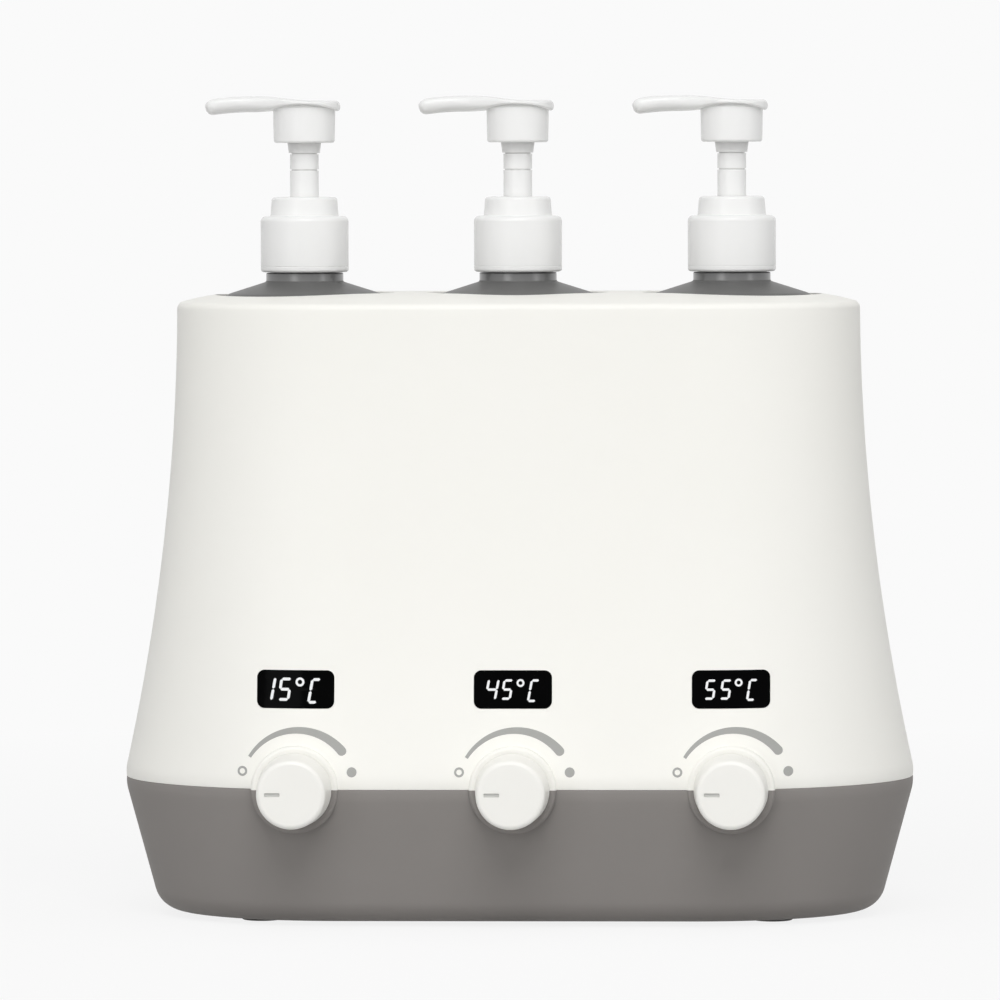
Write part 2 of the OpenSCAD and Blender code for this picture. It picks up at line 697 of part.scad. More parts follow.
// Case screws, from below through the pan's posts into the housing's
module case_screws() {
    seat = seam_z - screw_seat;
    tip = seam_z + screw_bite;
    color([0.62, 0.62, 0.64]) for (p = screw_places) translate([p.x, p.y, 0]) difference() {
        turned(concat([[0, tip], [0.3, tip], [screw_r, tip - 2], [screw_r, seat], [screw_head_r, seat]],
            arc(screw_head_r - 0.8, seat - screw_head_h + 0.8, 0.8, 0, -90, 4), [[0, seat - screw_head_h]]));
        for (a = [0, 90]) rotate(a) translate([-1.6, -0.3, seat - screw_head_h - PASS]) cube([3.2, 0.6, PASS + 1]);
    }
}

// Warming cup, drawn from sheet metal with a rounded bottom edge
module cup() {
    r = 3;
    color([0.8, 0.8, 0.81]) turned(concat([[0, cup_base_z]],
        arc(cup_out_r - r, cup_base_z + r, r, -90, 0, 5), [[cup_out_r, cup_top_z], [cup_in_r, cup_top_z]],
        arc(cup_out_r - r, cup_base_z + r, r - cup_wall, 0, -90, 5), [[0, seat_z]]));
}

// Heating disc under the cup, with two lead tabs
module heater() {
    color([0.75, 0.3, 0.16]) {
        rod(heater_r, cup_base_z - heater_t, cup_base_z);
        translate([-3, heater_r - 3, cup_base_z - heater_t - 4]) cube([1.2, 2, 4 + FUSE]);
        translate([1.8, heater_r - 3, cup_base_z - heater_t - 4]) cube([1.2, 2, 4 + FUSE]);
    }
}

// Temperature sensors, one under each heating disc
module cup_sensors() {
    top = cup_base_z - heater_t;
    color([0.2, 0.2, 0.22]) for (i = [0:2]) translate([station_x(i), 0, top - sensor_t]) difference() {
        translate([-sensor_w / 2, -sensor_w / 2, 0]) cube([sensor_w, sensor_w, sensor_t]);
        translate([0, 0, -PASS]) cylinder(r = 1.5, h = PASS + 2);
    }
}

// Control board: upright behind the front wall, with its relays, power block and capacitor
module control_board() {
    foot = pan_floor + 2;
    color([0.12, 0.36, 0.2]) difference() {
        translate([-board_w / 2, board_front_y, foot]) cube([board_w, board_t, board_top_z - foot]);
        for (i = [0:2]) translate([station_x(i), board_front_y - PASS, seam_z]) rotate([-90, 0, 0])
            cylinder(r = shaft_r + 0.5, h = board_t + 2 * PASS);
    }
    color([0.12, 0.12, 0.13]) {
        for (i = [0, 1]) translate([(i - 0.5) * pitch - relay_w / 2, board_front_y - relay_d, relay_z])
            cube([relay_w, relay_d + FUSE, relay_h]);
        translate([-pitch / 2 - supply_w / 2, board_front_y - supply_d, supply_z])
            cube([supply_w, supply_d + FUSE, supply_h]);
        translate([pitch / 2, board_front_y - capacitor_r - FUSE, supply_z]) {
            cylinder(r = capacitor_r, h = capacitor_h);
            translate([1 - capacitor_r, 0, 0]) cube([2 * capacitor_r - 2, capacitor_r + 2 * FUSE, capacitor_h]);
        }
    }
}

// Rotary sensors of the dials: a body on the board and a bush that the shaft turns in
sensor_front_y = -board_front_y + sensor_body_d;
module dial_sensors() {
    color([0.35, 0.4, 0.45]) for (i = [0:2]) translate([station_x(i), 0, seam_z]) difference() {
        union() {
            front_plate(sensor_body_w, sensor_body_w, 2, sensor_front_y, -board_front_y);
            translate([0, -sensor_front_y + FUSE, 0]) rotate([90, 0, 0]) cylinder(r = shaft_r + 1.4, h = bush_l + FUSE);
        }
        translate([0, board_front_y - 1.5, 0]) rotate([90, 0, 0])
            cylinder(r = shaft_r + slip, h = sensor_front_y + board_front_y + bush_l + PASS);
    }
}

// Display block behind pane i, with a face that follows the wall's slope
module display(i) {
    edge_x = station_x(i) + (i - 1) * display_w / 2;
    function face(z) = front_at(edge_x, z) - wall / cos(12) - 0.6;
    low = window_z - display_h / 2;
    high = window_z + display_h / 2;
    color([0.9, 0.9, 0.88]) translate([station_x(i) - display_w / 2, 0, 0]) rotate([90, 0, 90])
        linear_extrude(display_w)
            polygon([[board_front_y, low], [board_front_y, high], [-face(high), high], [-face(low), low]]);
}

// Shaft of dial i, with the flat that drives the knob
module knob_shaft(i) {
    back = -board_front_y + 2;
    tip = knob_y(i) + knob_l - knob_wall - 1.2;
    flat_l = tip - knob_y(i) - 1;
    color([0.72, 0.72, 0.74]) translate([station_x(i), -back, seam_z]) rotate([90, 0, 0]) difference() {
        turned([[0, 0], [shaft_r, 0], [shaft_r, tip - back - 0.5], [shaft_r - 0.5, tip - back], [0, tip - back]]);
        translate([-shaft_r - PASS, shaft_r - 1.5, tip - back - flat_l]) cube([2 * shaft_r + 2 * PASS, 4, flat_l + PASS]);
    }
}

// Distance of knob i's back edge in front of the bottles
function knob_y(i) = boss_y(i) + knob_gap;

// Knob i: a tapered cap with a rounded edge, a hub for the shaft and a pointer groove at nine o'clock
module knob(i) {
    color([0.95, 0.95, 0.93]) translate([station_x(i), -knob_y(i), seam_z]) rotate([90, 0, 0]) difference() {
        union() {
            difference() {
                turned(concat([[0, 0], [knob_r, 0]],
                    arc(knob_front_r - knob_round, knob_l - knob_round, knob_round, 0, 90), [[0, knob_l]]));
                turned([[0, -PASS], [knob_r - knob_wall, -PASS], [knob_front_r - knob_wall, knob_l - knob_wall],
                    [0, knob_l - knob_wall]]);
            }
            translate([0, 0, 2]) cylinder(r = knob_hub_r, h = knob_l - knob_wall - 2 + FUSE);
            for (a = [0:60:300]) rotate(a) translate([knob_hub_r - FUSE, -0.6, 5])
                cube([knob_front_r - knob_wall - knob_hub_r + 2 * FUSE, 1.2, knob_l - knob_wall - 5 + FUSE]);
        }
        difference() {
            translate([0, 0, -PASS]) cylinder(r = shaft_r + SEAT, h = knob_l - knob_wall - 1 + PASS);
            translate([-shaft_r - PASS, shaft_r - 1.5 + SEAT, 1]) cube([2 * shaft_r + 2 * PASS, 4, knob_l]);
        }
        translate([-pointer_from - pointer_l, -pointer_w / 2, knob_l - pointer_d]) cube([pointer_l, pointer_w, 2]);
    }
}

// Bottle: thin-walled, with a hollow foot, a cone shoulder and a threaded neck
module bottle() {
    w = bottle_wall;
    // the shoulder's rounding touches the side and the cone
    lean = 90 - shoulder_slope;
    drop = shoulder_round * tan(lean / 2);
    outer = concat([[0, seat_z + punt_h], [bottle_r - 9, seat_z + punt_h], [bottle_r - 7, seat_z]],
        arc(bottle_r - bottle_foot_round, seat_z + bottle_foot_round, bottle_foot_round, -90, 0, 5),
        arc(bottle_r - shoulder_round, corner_z - drop, shoulder_round, 0, lean, 6),
        [[neck_r, neck_z], [neck_r, finish_z - 0.4], [neck_r - 0.4, finish_z], [finish_r, finish_z],
            [finish_r, seal_z - 0.4], [finish_r - 0.4, seal_z]]);
    inner = concat([[mouth_r, seal_z], [mouth_r, finish_z], [neck_r - 1.6, neck_z - w]],
        arc(bottle_r - shoulder_round, corner_z - drop, shoulder_round - w, lean, 0, 6),
        arc(bottle_r - bottle_foot_round, seat_z + bottle_foot_round, bottle_foot_round - w, 0, -90, 4),
        [[bottle_r - 7.4, seat_z + w], [bottle_r - 9.4, seat_z + punt_h + w], [0, seat_z + punt_h + w]]);
    color([0.33, 0.33, 0.325]) {
        turned(concat(outer, inner));
        thread(finish_r - FUSE, finish_r + thread_crest, thread_z);
    }
}

// Heights where the bottle's thread and the closure's thread begin
thread_z = finish_z + 8;
closure_thread_z = thread_z - 1.55;

// Closure: a cap with an upper ring that turns about the chamber's flange
module closure() {
    bore = finish_r + 1.5;
    edge = 2;
    upper = 1.4;
    outer = concat([[bore, collar_z], [collar_foot_r - 0.2, collar_z], [collar_foot_r, collar_z + 0.2],
        [collar_r, collar_z + 1.2]],
        arc(collar_r - edge, shoulder_z - edge, edge, 0, 90),
        [[collar_ring_r, shoulder_z]],
        arc(collar_ring_top_r - upper, collar_top_z - upper, upper, 8, 90));
    inner = [[stem_r + 0.4, collar_top_z], [stem_r + 0.4, collar_top_z - collar_top_t],
        [collar_ring_top_r - 1.2, collar_top_z - collar_top_t], [collar_ring_top_r - 1.2, flange_top_z + SEAT],
        [bore, flange_top_z + SEAT]];
    color([0.94, 0.94, 0.94]) {
        turned(concat(outer, inner));
        thread(bore + FUSE, finish_r + 0.45, closure_thread_z);
    }
}

// Gasket between the neck and the chamber's flange
module gasket() color([0.85, 0.84, 0.8]) tube(flange_r, chamber_r + 0.4, seal_z, flange_z);

// Pump chamber: flanged tube with a spring step, a ball cage and a socket for the dip tube
module pump_chamber() {
    color([0.9, 0.9, 0.9]) turned([
        [bore_r, flange_top_z], [flange_r, flange_top_z], [flange_r, flange_z], [chamber_r, flange_z],
        [chamber_r, chamber_foot_z + 1], [cage_r + 1.3, chamber_foot_z - 3], [cage_r + 1.3, cage_foot_z],
        [dip_r + 1.3, cage_foot_z - 2], [dip_r + 1.3, socket_foot_z], [dip_r + SEAT, socket_foot_z],
        [dip_r + SEAT, cage_foot_z - 1.2], [valve_r, cage_foot_z - 1.2], [valve_r, cage_foot_z],
        [cage_r, cage_foot_z + 1.2], [cage_r, step_z], [bore_r, step_z]]);
}

// Guide in the chamber's mouth that the stem slides in
module stem_guide() {
    top_r = collar_ring_top_r - 1.2 - turn_gap;
    color([0.88, 0.88, 0.87]) turned([
        [stem_r + slip, guide_foot_z], [bore_r - SEAT, guide_foot_z], [bore_r - SEAT, flange_top_z],
        [top_r, flange_top_z], [top_r, guide_top_z - 0.5], [top_r - 0.5, guide_top_z], [stem_r + slip, guide_top_z]]);
}

// Dip tube, with its foot cut aslant
module dip_tube() {
    foot = seat_z + punt_h + bottle_wall + dip_gap;
    color([0.86, 0.87, 0.87]) difference() {
        tube(dip_r, dip_bore_r, foot, cage_foot_z - 1.5);
        translate([0, 0, foot]) rotate([0, 45, 0]) translate([0, -10, -20]) cube([20, 20, 20]);
    }
}

// Check ball on its seat
module check_ball() {
    color([0.8, 0.8, 0.82]) translate([0, 0, cage_foot_z + sqrt(ball_r * ball_r - valve_r * valve_r) + 0.02])
        sphere(r = ball_r);
}

// Return spring: a round wire wound from the chamber's step to the stem's foot, with closed end turns
module spring() {
    low = step_z + wire_r + SEAT;
    high = rod_foot_z - wire_r - SEAT;
    per_turn = 8;
    sides = 6;
    steps = spring_turns * per_turn;
    closed = 2 * wire_r + 0.5;
    function wound(u) = u < 1 ? closed * u : u > spring_turns - 1 ? high - low - closed * (spring_turns - u)
        : closed + (high - low - 2 * closed) * (u - 1) / (spring_turns - 2);
    middle = [for (i = [0:steps]) let (u = i / per_turn)
        [spring_r * cos(360 * u), spring_r * sin(360 * u), low + wound(u)]];
    rings = [for (i = [0:steps]) let (t = 360 * i / per_turn)
        [for (k = [0:sides - 1]) let (s = -360 * k / sides)
            middle[i] + wire_r * [cos(s) * cos(t), cos(s) * sin(t), sin(s)]]];
    echo(least_spring_gap = min([for (i = [0:steps - per_turn]) for (j = [i + per_turn - 2:steps])
        norm(middle[i] - middle[j])]) - 2 * wire_r);
    color([0.7, 0.7, 0.72]) loft(rings);
}

// Piston: a double-lipped sleeve on the stem's rod
module piston() {
    lip = bore_r - slip;
    color([0.75, 0.78, 0.8]) turned([
        [rod_r + slip, piston_foot_z], [lip - 0.5, piston_foot_z], [lip, piston_foot_z + 0.8],
        [lip, piston_foot_z + 1.8], [lip - 1, piston_foot_z + 2.6], [lip - 1, piston_top_z - 2.6],
        [lip, piston_top_z - 1.8], [lip, piston_top_z - 0.8], [lip - 0.5, piston_top_z], [rod_r + slip, piston_top_z]]);
}

// Stem: a hollow rod from the head's hub down through the guide to the piston
neck_of_stem_r = 4;
module stem() {
    top = head_z + skirt_h - 4;
    line_z = hub_z - 5.7;
    // ports that the piston uncovers when the head goes down
    port_r = 0.7;
    port_z = piston_foot_z + port_r + 0.1;
    color([0.93, 0.93, 0.93]) difference() {
        turned([[0, port_z - port_r], [0, rod_foot_z], [rod_r + 1.2, rod_foot_z], [rod_r + 1.2, rod_foot_z + 2],
            [rod_r, rod_foot_z + 2], [rod_r, guide_foot_z], [stem_r, guide_foot_z],
            [stem_r, line_z - 0.25], [stem_r - 0.25, line_z], [stem_r, line_z + 0.25],
            [stem_r, hub_z], [neck_of_stem_r, hub_z], [neck_of_stem_r, top], [stem_bore_r, top],
            [stem_bore_r, port_z - port_r]]);
        translate([0, 0, port_z]) rotate([90, 0, 0]) cylinder(r = port_r, h = 20, center = true);
    }
}

// Height of the pad's and the spout's back at x
function back_z(x) =
    let (start = -1.6, crest = -0.52 * spout_reach)
        x > start ? pad_top_z
        : x > crest ? pad_top_z + spout_rise * (1 - cos(180 * (start - x) / (start - crest))) / 2
        : pad_top_z + spout_rise - spout_fall * pow((crest - x) / (spout_reach + crest), 2);

// Height of their underside at x
function under_z(x) =
    let (crest = -0.53 * spout_reach, top = pad_edge_z - 0.45)
        x > -skirt_r ? pad_edge_z + pad_arch * (1 - pow(x / skirt_r, 2))
        : x > crest ? top + 0.45 * pow((x - crest) / (-skirt_r - crest), 2)
        : top - 1.3 * pow((crest - x) / (spout_reach + crest), 2);

// Half-width of the pad and spout at x
function half_wide(x) =
    let (disc = max(0, pad_r * pad_r - x * x),
        spout = spout_tip_w + (spout_root_w - spout_tip_w) * (x + spout_reach) / (spout_reach - skirt_r))
        x > 0 ? sqrt(disc) : pow(disc * disc + pow(spout, 4), 1 / 4);

// How much of its height a section keeps near the rounded ends
function end_share(x) =
    let (nose = 2.6, heel = 1.7)
        x < nose - spout_reach ? sqrt(max(0.02, 1 - pow((nose - spout_reach - x) / nose, 2)))
        : x > pad_r - heel ? sqrt(max(0.02, 1 - pow((x - pad_r + heel) / heel, 2))) : 1;

// Thumb pad and spout in one sweep of flat-sided ovals
module pad_and_spout() {
    sides = 16;
    xs = concat([-0.995, -0.98, -0.95, -0.92], [for (i = [0:7]) -0.88 + 0.075 * i]) * spout_reach;
    pad_xs = [for (t = [165, 150, 135, 120, 105, 90, 75, 60, 47, 35, 24, 14, 5]) pad_r * cos(t)];
    loft([for (x = concat(xs, [for (x = pad_xs) if (x > xs[len(xs) - 1] + 0.8) x])) let (
        w = half_wide(x) * (x < 0 ? pow(end_share(x), 0.8) : 1),
        mid = (back_z(x) + under_z(x)) / 2,
        h = (back_z(x) - under_z(x)) / 2 * end_share(x),
        n = x < -pad_r ? 2.6 : 4)
        [for (k = [0:sides - 1]) let (s = 360 * (k + 0.5) / sides)
            [x, w * sign(cos(s)) * pow(abs(cos(s)), 2 / n), mid + h * sign(sin(s)) * pow(abs(sin(s)), 2 / n)]]]);
}

// Pump head: pad and spout over a hollow skirt, with a hub on the stem and a channel to the spout's tip
module pump_head() {
    bore_z = pad_top_z - 2.1;
    mid = [-0.56 * spout_reach, bore_z + 1];
    tip = [-spout_reach - PASS, bore_z - 0.6];
    color([0.95, 0.95, 0.95]) difference() {
        union() {
            pad_and_spout();
            difference() {
                turned(concat([[0, pad_edge_z + pad_arch + 0.6], [0, head_z]], [[skirt_r - 1.2, head_z]],
                    arc(skirt_r - 1.2, head_z + 1, 1, -90, 0, 4), [[skirt_r, pad_edge_z + pad_arch * 0.5],
                    [skirt_r - 1.2, pad_edge_z + pad_arch + 0.6]]));
                rod(skirt_r - skirt_t, head_z - PASS, pad_edge_z - 1.4);
            }
            turned([[0, hub_z], [hub_foot_r, hub_z], [hub_r - 0.1, hub_z + hub_taper], [hub_r, head_z],
                [hub_r, pad_edge_z], [0, pad_edge_z]]);
        }
        rod(neck_of_stem_r + SEAT, hub_z - PASS, head_z + skirt_h - 4 + SEAT);
        rod(stem_bore_r, head_z, bore_z + 0.4);
        channel([0, bore_z], mid, 1.3);
        channel(mid, tip, 1.3);
    }
}

// Straight round channel between two points of the plane through the spout, given as [x, z]
module channel(a, b, r) {
    l = norm(b - a);
    translate([a[0], 0, a[1]]) rotate([0, -atan2(b[1] - a[1], b[0] - a[0]), 0]) rotate([0, 90, 0])
        translate([0, 0, -0.3]) cylinder(r = r, h = l + 0.6);
}

// Place of the whole in its frame, with the feet on the table
module placed() translate([0, row_y, foot_h]) children();

// Place of station i
module at_station(i) placed() translate([station_x(i), 0, 0]) children();

placed() housing();
placed() base_pan();
placed() feet();
placed() case_screws();
placed() control_board();
placed() dial_sensors();
placed() cup_sensors();
placed() mains_inlet();
placed() inlet_pins();
for (i = [0:2]) {
    at_station(i) cup();
    at_station(i) heater();
    placed() display(i);
    placed() window(i);
    placed() knob(i);
    placed() knob_shaft(i);
    at_station(i) bottle();
    at_station(i) gasket();
    at_station(i) closure();
    at_station(i) pump_chamber();
    at_station(i) stem_guide();
    at_station(i) dip_tube();
    at_station(i) check_ball();
    at_station(i) spring();
    at_station(i) piston();
    at_station(i) stem();
    at_station(i) pump_head();
}
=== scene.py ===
"""Looks of a warmer for three pump bottles of massage oil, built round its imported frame."""

import json
import math

import bmesh
import bpy
from mathutils import Matrix, Vector


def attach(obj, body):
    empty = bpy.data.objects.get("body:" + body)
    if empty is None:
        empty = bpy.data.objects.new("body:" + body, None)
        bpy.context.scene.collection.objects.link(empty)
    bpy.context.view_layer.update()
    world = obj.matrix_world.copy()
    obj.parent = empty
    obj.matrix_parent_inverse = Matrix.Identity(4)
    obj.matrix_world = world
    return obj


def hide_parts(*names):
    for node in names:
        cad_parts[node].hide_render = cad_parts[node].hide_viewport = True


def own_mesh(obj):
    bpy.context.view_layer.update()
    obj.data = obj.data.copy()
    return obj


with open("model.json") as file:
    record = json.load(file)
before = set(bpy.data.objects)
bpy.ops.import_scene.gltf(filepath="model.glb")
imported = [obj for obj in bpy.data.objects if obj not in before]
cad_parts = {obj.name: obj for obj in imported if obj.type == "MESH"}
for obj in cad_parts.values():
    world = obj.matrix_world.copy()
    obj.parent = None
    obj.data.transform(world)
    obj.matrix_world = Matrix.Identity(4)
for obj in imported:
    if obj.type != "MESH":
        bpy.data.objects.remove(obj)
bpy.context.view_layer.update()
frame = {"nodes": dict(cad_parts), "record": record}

# Measures of the part's source, in millimetres and degrees. Heights are over the pan's underside. SEEN_SLOPE,
# CROWN_DROP, CROWN_POWER, RIM_ROUND, PAN_ROUND, BOSS_ROUND, HUB_FOOT_R and SPOUT_RIDGE are the scene's own: they
# follow the photograph more closely than the solids do. No piece reaches 0.13 mm past the box of its solid.
MM = 0.001
STATIONS = ("left", "centre", "right")
PITCH = 77.5
FOOT_H = 1.5
FUSE = 0.5
PASS = 1.0
SEAT = 0.05
BEYOND = 200.0

BOTTLE_R = 31.0
BOTTLE_WALL = 1.2
SHOULDER_SLOPE = 20.8
SEEN_SLOPE = 17.6
SHOULDER_ROUND = 6.0
BOTTLE_FOOT_ROUND = 3.0
PUNT_H = 1.5
NECK_R = 14.0
FINISH_R = 12.6
MOUTH_R = 10.6
THREAD_CREST = 1.1
THREAD_PITCH = 4.233
THREAD_TURNS = 1.25
SEAT_Z = 50.2
CORNER_Z = SEAT_Z + 171.5
NECK_Z = CORNER_Z + (BOTTLE_R - NECK_R) * math.tan(math.radians(SHOULDER_SLOPE))
FINISH_Z = NECK_Z + 3.2
SEAL_Z = FINISH_Z + 17.0

CUP_BASE_Z = 49.0
CUP_IN_R = BOTTLE_R + 1.3
CUP_OUT_R = CUP_IN_R + 1.2
SLEEVE_GAP = 0.25
SLEEVE_R = CUP_OUT_R + SLEEVE_GAP + 2.2
SLEEVE_LEN = 16.0
CRADLE_R = CUP_OUT_R + SLEEVE_GAP + 2.3
HEATER_R = 28.0

WELL_GAP = 1.6
WELL_ROUND = 0.6

WALL = 2.6
CROWN_Z = CORNER_Z + 2.5
LIP_Z = CROWN_Z - 5.6
CUP_TOP_Z = LIP_Z - 0.3
FRONT_FLAT = 128.0
FLARE = 20.0
TOP_HALF_W = PITCH + SLEEVE_R + 10.4
TOP_HALF_D = SLEEVE_R + 12.0
SEAM_HALF_W = TOP_HALF_W + FLARE
SEAM_HALF_D = TOP_HALF_D + FLARE
SEAM_Z = 48.8
SEAM_EASE = 0.9
SEAM_EASE_H = 5.0
CROWN_DROP = 3.7
CROWN_ROLL = 24.0
CROWN_POWER = 2.0
RIM_ROUND = 2.6
ROLL_SLOPE = math.degrees(math.atan(CROWN_POWER * CROWN_DROP / CROWN_ROLL))

PAN_SLOPE = 15.2
PAN_ROUND = 10.5
PAN_FLOOR = 3.0
TONGUE_GAP = 0.25
TONGUE_T = 1.2
TONGUE_H = 3.0
CRADLE_H = 8.0
HEATER_SPACE = 0.8
FOOT_R = 7.5
FOOT_SINK = 1.2
FEET = [(sx * 92, sy * 26) for sx in (-1, 1) for sy in (-1, 1)]
SCREW_R = 1.45
SCREW_HEAD_R = 2.8
SCREW_SEAT = 6.0
SCREW_BITE = 9.0
SCREW_GAP = 0.2
SCREW_HEAD_GAP = 0.4
POST_R = 4.6
END_SCREW_IN = 1.2
END_SCREW_Y = 24
BACK_SCREW_Y = 34
SCREW_PLACES = [(s * (PITCH + CRADLE_R - END_SCREW_IN), y) for s in (-1, 1) for y in (-END_SCREW_Y, END_SCREW_Y)]
SCREW_PLACES += [(s * PITCH / 2, BACK_SCREW_Y) for s in (-1, 1)]

BOSS_R = 15.6
BOSS_ROUND = 1.3
BOSS_PROUD = 2.0
KNOB_GAP = 0.6
KNOB_R = 13.2
KNOB_FRONT_R = 12.3
KNOB_L = 20.0
KNOB_ROUND = 1.8
KNOB_WALL = 1.8
SHAFT_R = 3.0
POINTER_FROM = 3.8
POINTER_L = 5.6
POINTER_W = 1.4
POINTER_D = 0.7

WINDOW_W = 27.7
WINDOW_H = 13.4
WINDOW_ROUND = 2.6
WINDOW_Z = 84.1
PANE_T = 1.8
PANE_GAP = 0.1
PANE_LEDGE = 1.3

BOARD_W = 176.0
BOARD_T = 1.6
BOARD_Y = -(CRADLE_R + 4.4)
BOARD_FRONT_Y = BOARD_Y - BOARD_T

INLET_W = 30.0
INLET_H = 18.0
INLET_Z = 24.0
SOCKET_W = 16.6
SOCKET_H = 8.8
SOCKET_D = 11.5
SOCKET_WALL = 2.5
PIN_PITCH = 8.6
PIN_R = 1.2

STROKE = 15.0
COLLAR_R = 15.95
COLLAR_FOOT_R = 14.9
COLLAR_TOP_T = 1.55
COLLAR_RING_R = 12.35
COLLAR_RING_TOP_R = 11.95
FLANGE_TOP_Z = SEAL_Z + 2.0
COLLAR_Z = FINISH_Z + 0.3
SHOULDER_Z = FLANGE_TOP_Z + SEAT + COLLAR_TOP_T
COLLAR_TOP_Z = SHOULDER_Z + 6.9
GUIDE_FOOT_Z = FLANGE_TOP_Z - 7.0
PISTON_FOOT_Z = GUIDE_FOOT_Z - 7.3
ROD_FOOT_Z = PISTON_FOOT_Z - 2.3
STEP_Z = FLANGE_TOP_Z - 58.0 + 1.2
STEM_R = 5.2
ROD_R = 3.6
STEM_BORE_R = 1.6
STEM_NECK_R = 4.0
PORT_R = 0.7
WIRE_R = 0.4
SPRING_R = 4.4
SPRING_TURNS = 8
HUB_Z = COLLAR_TOP_Z + 0.5 + STROKE
HEAD_Z = HUB_Z + 4.1
HUB_FOOT_R = 5.65
HUB_R = 6.1
SKIRT_R = 11.3
SKIRT_H = 11.6
SKIRT_T = 1.4
PAD_R = 13.1
PAD_T = 1.7
PAD_ARCH = 2.0
PAD_EDGE_Z = HEAD_Z + SKIRT_H
PAD_TOP_Z = PAD_EDGE_Z + PAD_ARCH + PAD_T
STEM_TOP_Z = PAD_EDGE_Z - 4.0
SPOUT_REACH = 36.0
SPOUT_TIP_W = 4.0
SPOUT_ROOT_W = 5.4
SPOUT_RISE = 1.6
SPOUT_FALL = 1.5
SPOUT_RIDGE = 0.64
SPOUT_BORE_R = 1.3

FRONT_REACH = SEAM_HALF_D - SEAM_EASE + BOSS_PROUD + KNOB_GAP + KNOB_L
ROW_Y = (FRONT_REACH - (SEAM_HALF_D - SEAM_EASE)) / 2


# ---------------------------------------------------------------- the view and the light


def make_camera():
    """The photograph's view: a long lens from the right of the middle, a little above the housing."""
    data = bpy.data.cameras.new("camera")
    data.sensor_width = 36.0
    data.lens = 268.1
    data.clip_start, data.clip_end = 0.1, 20.0
    camera = bpy.data.objects.new("camera", data)
    bpy.context.scene.collection.objects.link(camera)
    eye = Vector((0.100, -2.6887, 0.2775))
    aim = Vector((-0.0068, 0.0113, 0.1502))
    roll = Matrix.Rotation(-0.0028, 4, "Z").to_quaternion()
    camera.location = eye
    camera.rotation_mode = "QUATERNION"
    camera.rotation_quaternion = (aim - eye).to_track_quat("-Z", "Y") @ roll
    bpy.context.scene.camera = camera


def make_softbox(name, place, aim, size, power, tall=None):
    """Round softbox, or an upright strip when it is given a height."""
    data = bpy.data.lights.new(name, "AREA")
    data.shape = "RECTANGLE" if tall else "DISK"
    data.size = size
    if tall:
        data.size_y = tall
    data.energy = power
    lamp = bpy.data.objects.new(name, data)
    bpy.context.scene.collection.objects.link(lamp)
    lamp.location = place
    lamp.rotation_mode = "QUATERNION"
    lamp.rotation_quaternion = (Vector(aim) - Vector(place)).to_track_quat("-Z", "Y")


make_camera()
make_softbox("softbox", (0.1, -2.2, 2.3), (0.0, 0.0, 0.15), 2.1, 45.2)
make_softbox("left_panel", (-1.25, -2.2, 0.85), (0.0, 0.0, 0.2), 0.8, 6.6, 1.2)
make_softbox("right_strip", (2.1, -1.25, 0.85), (0.0, 0.0, 0.2), 0.35, 3.9, 1.2)
bpy.context.scene.view_settings.view_transform = "Standard"


# ---------------------------------------------------------------- materials


def linear(red, green, blue):
    """Colour of a material's socket, from the values of a screen's 0 to 255."""
    return tuple(
        v / 12.92 if v <= 0.04045 else ((v + 0.055) / 1.055) ** 2.4
        for v in (red / 255, green / 255, blue / 255)
    ) + (1.0,)


class Socket:
    """An output of a material's nodes that takes part in arithmetic."""

    def __init__(self, finish, socket):
        self.finish, self.socket = finish, socket

    def _with(self, operation, first, second):
        return self.finish.add("Math", {"operation": operation}, {0: first, 1: second})

    def __add__(self, other):
        return self._with("ADD", self, other)

    def __sub__(self, other):
        return self._with("SUBTRACT", self, other)

    def __rsub__(self, other):
        return self._with("SUBTRACT", other, self)

    def __mul__(self, other):
        return self._with("MULTIPLY", self, other)

    def __gt__(self, other):
        return self._with("GREATER_THAN", self, other)

    def __lt__(self, other):
        return self._with("LESS_THAN", self, other)

    __radd__ = __add__
    __rmul__ = __mul__


class Finish:
    """A material, built node by node."""

    def __init__(self, name, holder=None):
        self.owner = holder or bpy.data.materials.new(name)
        self.owner.use_nodes = True
        self.tree = self.owner.node_tree
        self.tree.nodes.clear()

    def add(self, kind, settings=None, sockets=None, output=0):
        """New node: its settings come first, then the values or links of its sockets."""
        node = self.tree.nodes.new("ShaderNode" + kind)
        for key, value in (settings or {}).items():
            setattr(node, key, value)
        for key, value in (sockets or {}).items():
            if isinstance(value, Socket):
                self.tree.links.new(value.socket, node.inputs[key])
            else:
                node.inputs[key].default_value = value
        return Socket(self, node.outputs[output]) if node.outputs else None

    def place(self):
        return self.add("TexCoord", output="Object")

    def noise(self, scale, detail=2.0, place=None):
        """Even noise between 0 and 1, with so many lumps in a metre."""
        return self.add("TexNoise", None, {"Vector": place or self.place(), "Scale": scale, "Detail": detail})

    def stretched(self, x, y, z):
        return self.add("Mapping", None, {"Vector": self.place(), "Scale": (x, y, z)})

    def flow_lines(self):
        """Faint upright streaks, as the melt leaves them in a smooth moulding."""
        return self.noise(60.0, 2.0, self.stretched(1.0, 1.0, 0.25))

    def tint(self, factor, first, second):
        return self.add("Mix", {"data_type": "RGBA"}, {"Factor": factor, 6: first, 7: second}, output=2)

    def bump(self, height, strength, distance):
        return self.add("Bump", None, {"Height": height, "Strength": strength, "Distance": distance})

    def shine(self, **sockets):
        """Principled shader with its sockets named in words."""
        named = {key.replace("_", " ").title().replace("Ior", "IOR"): value for key, value in sockets.items()}
        return self.add("BsdfPrincipled", None, named)

    def done(self, shader):
        self.add("OutputMaterial", None, {"Surface": shader})
        return self.owner


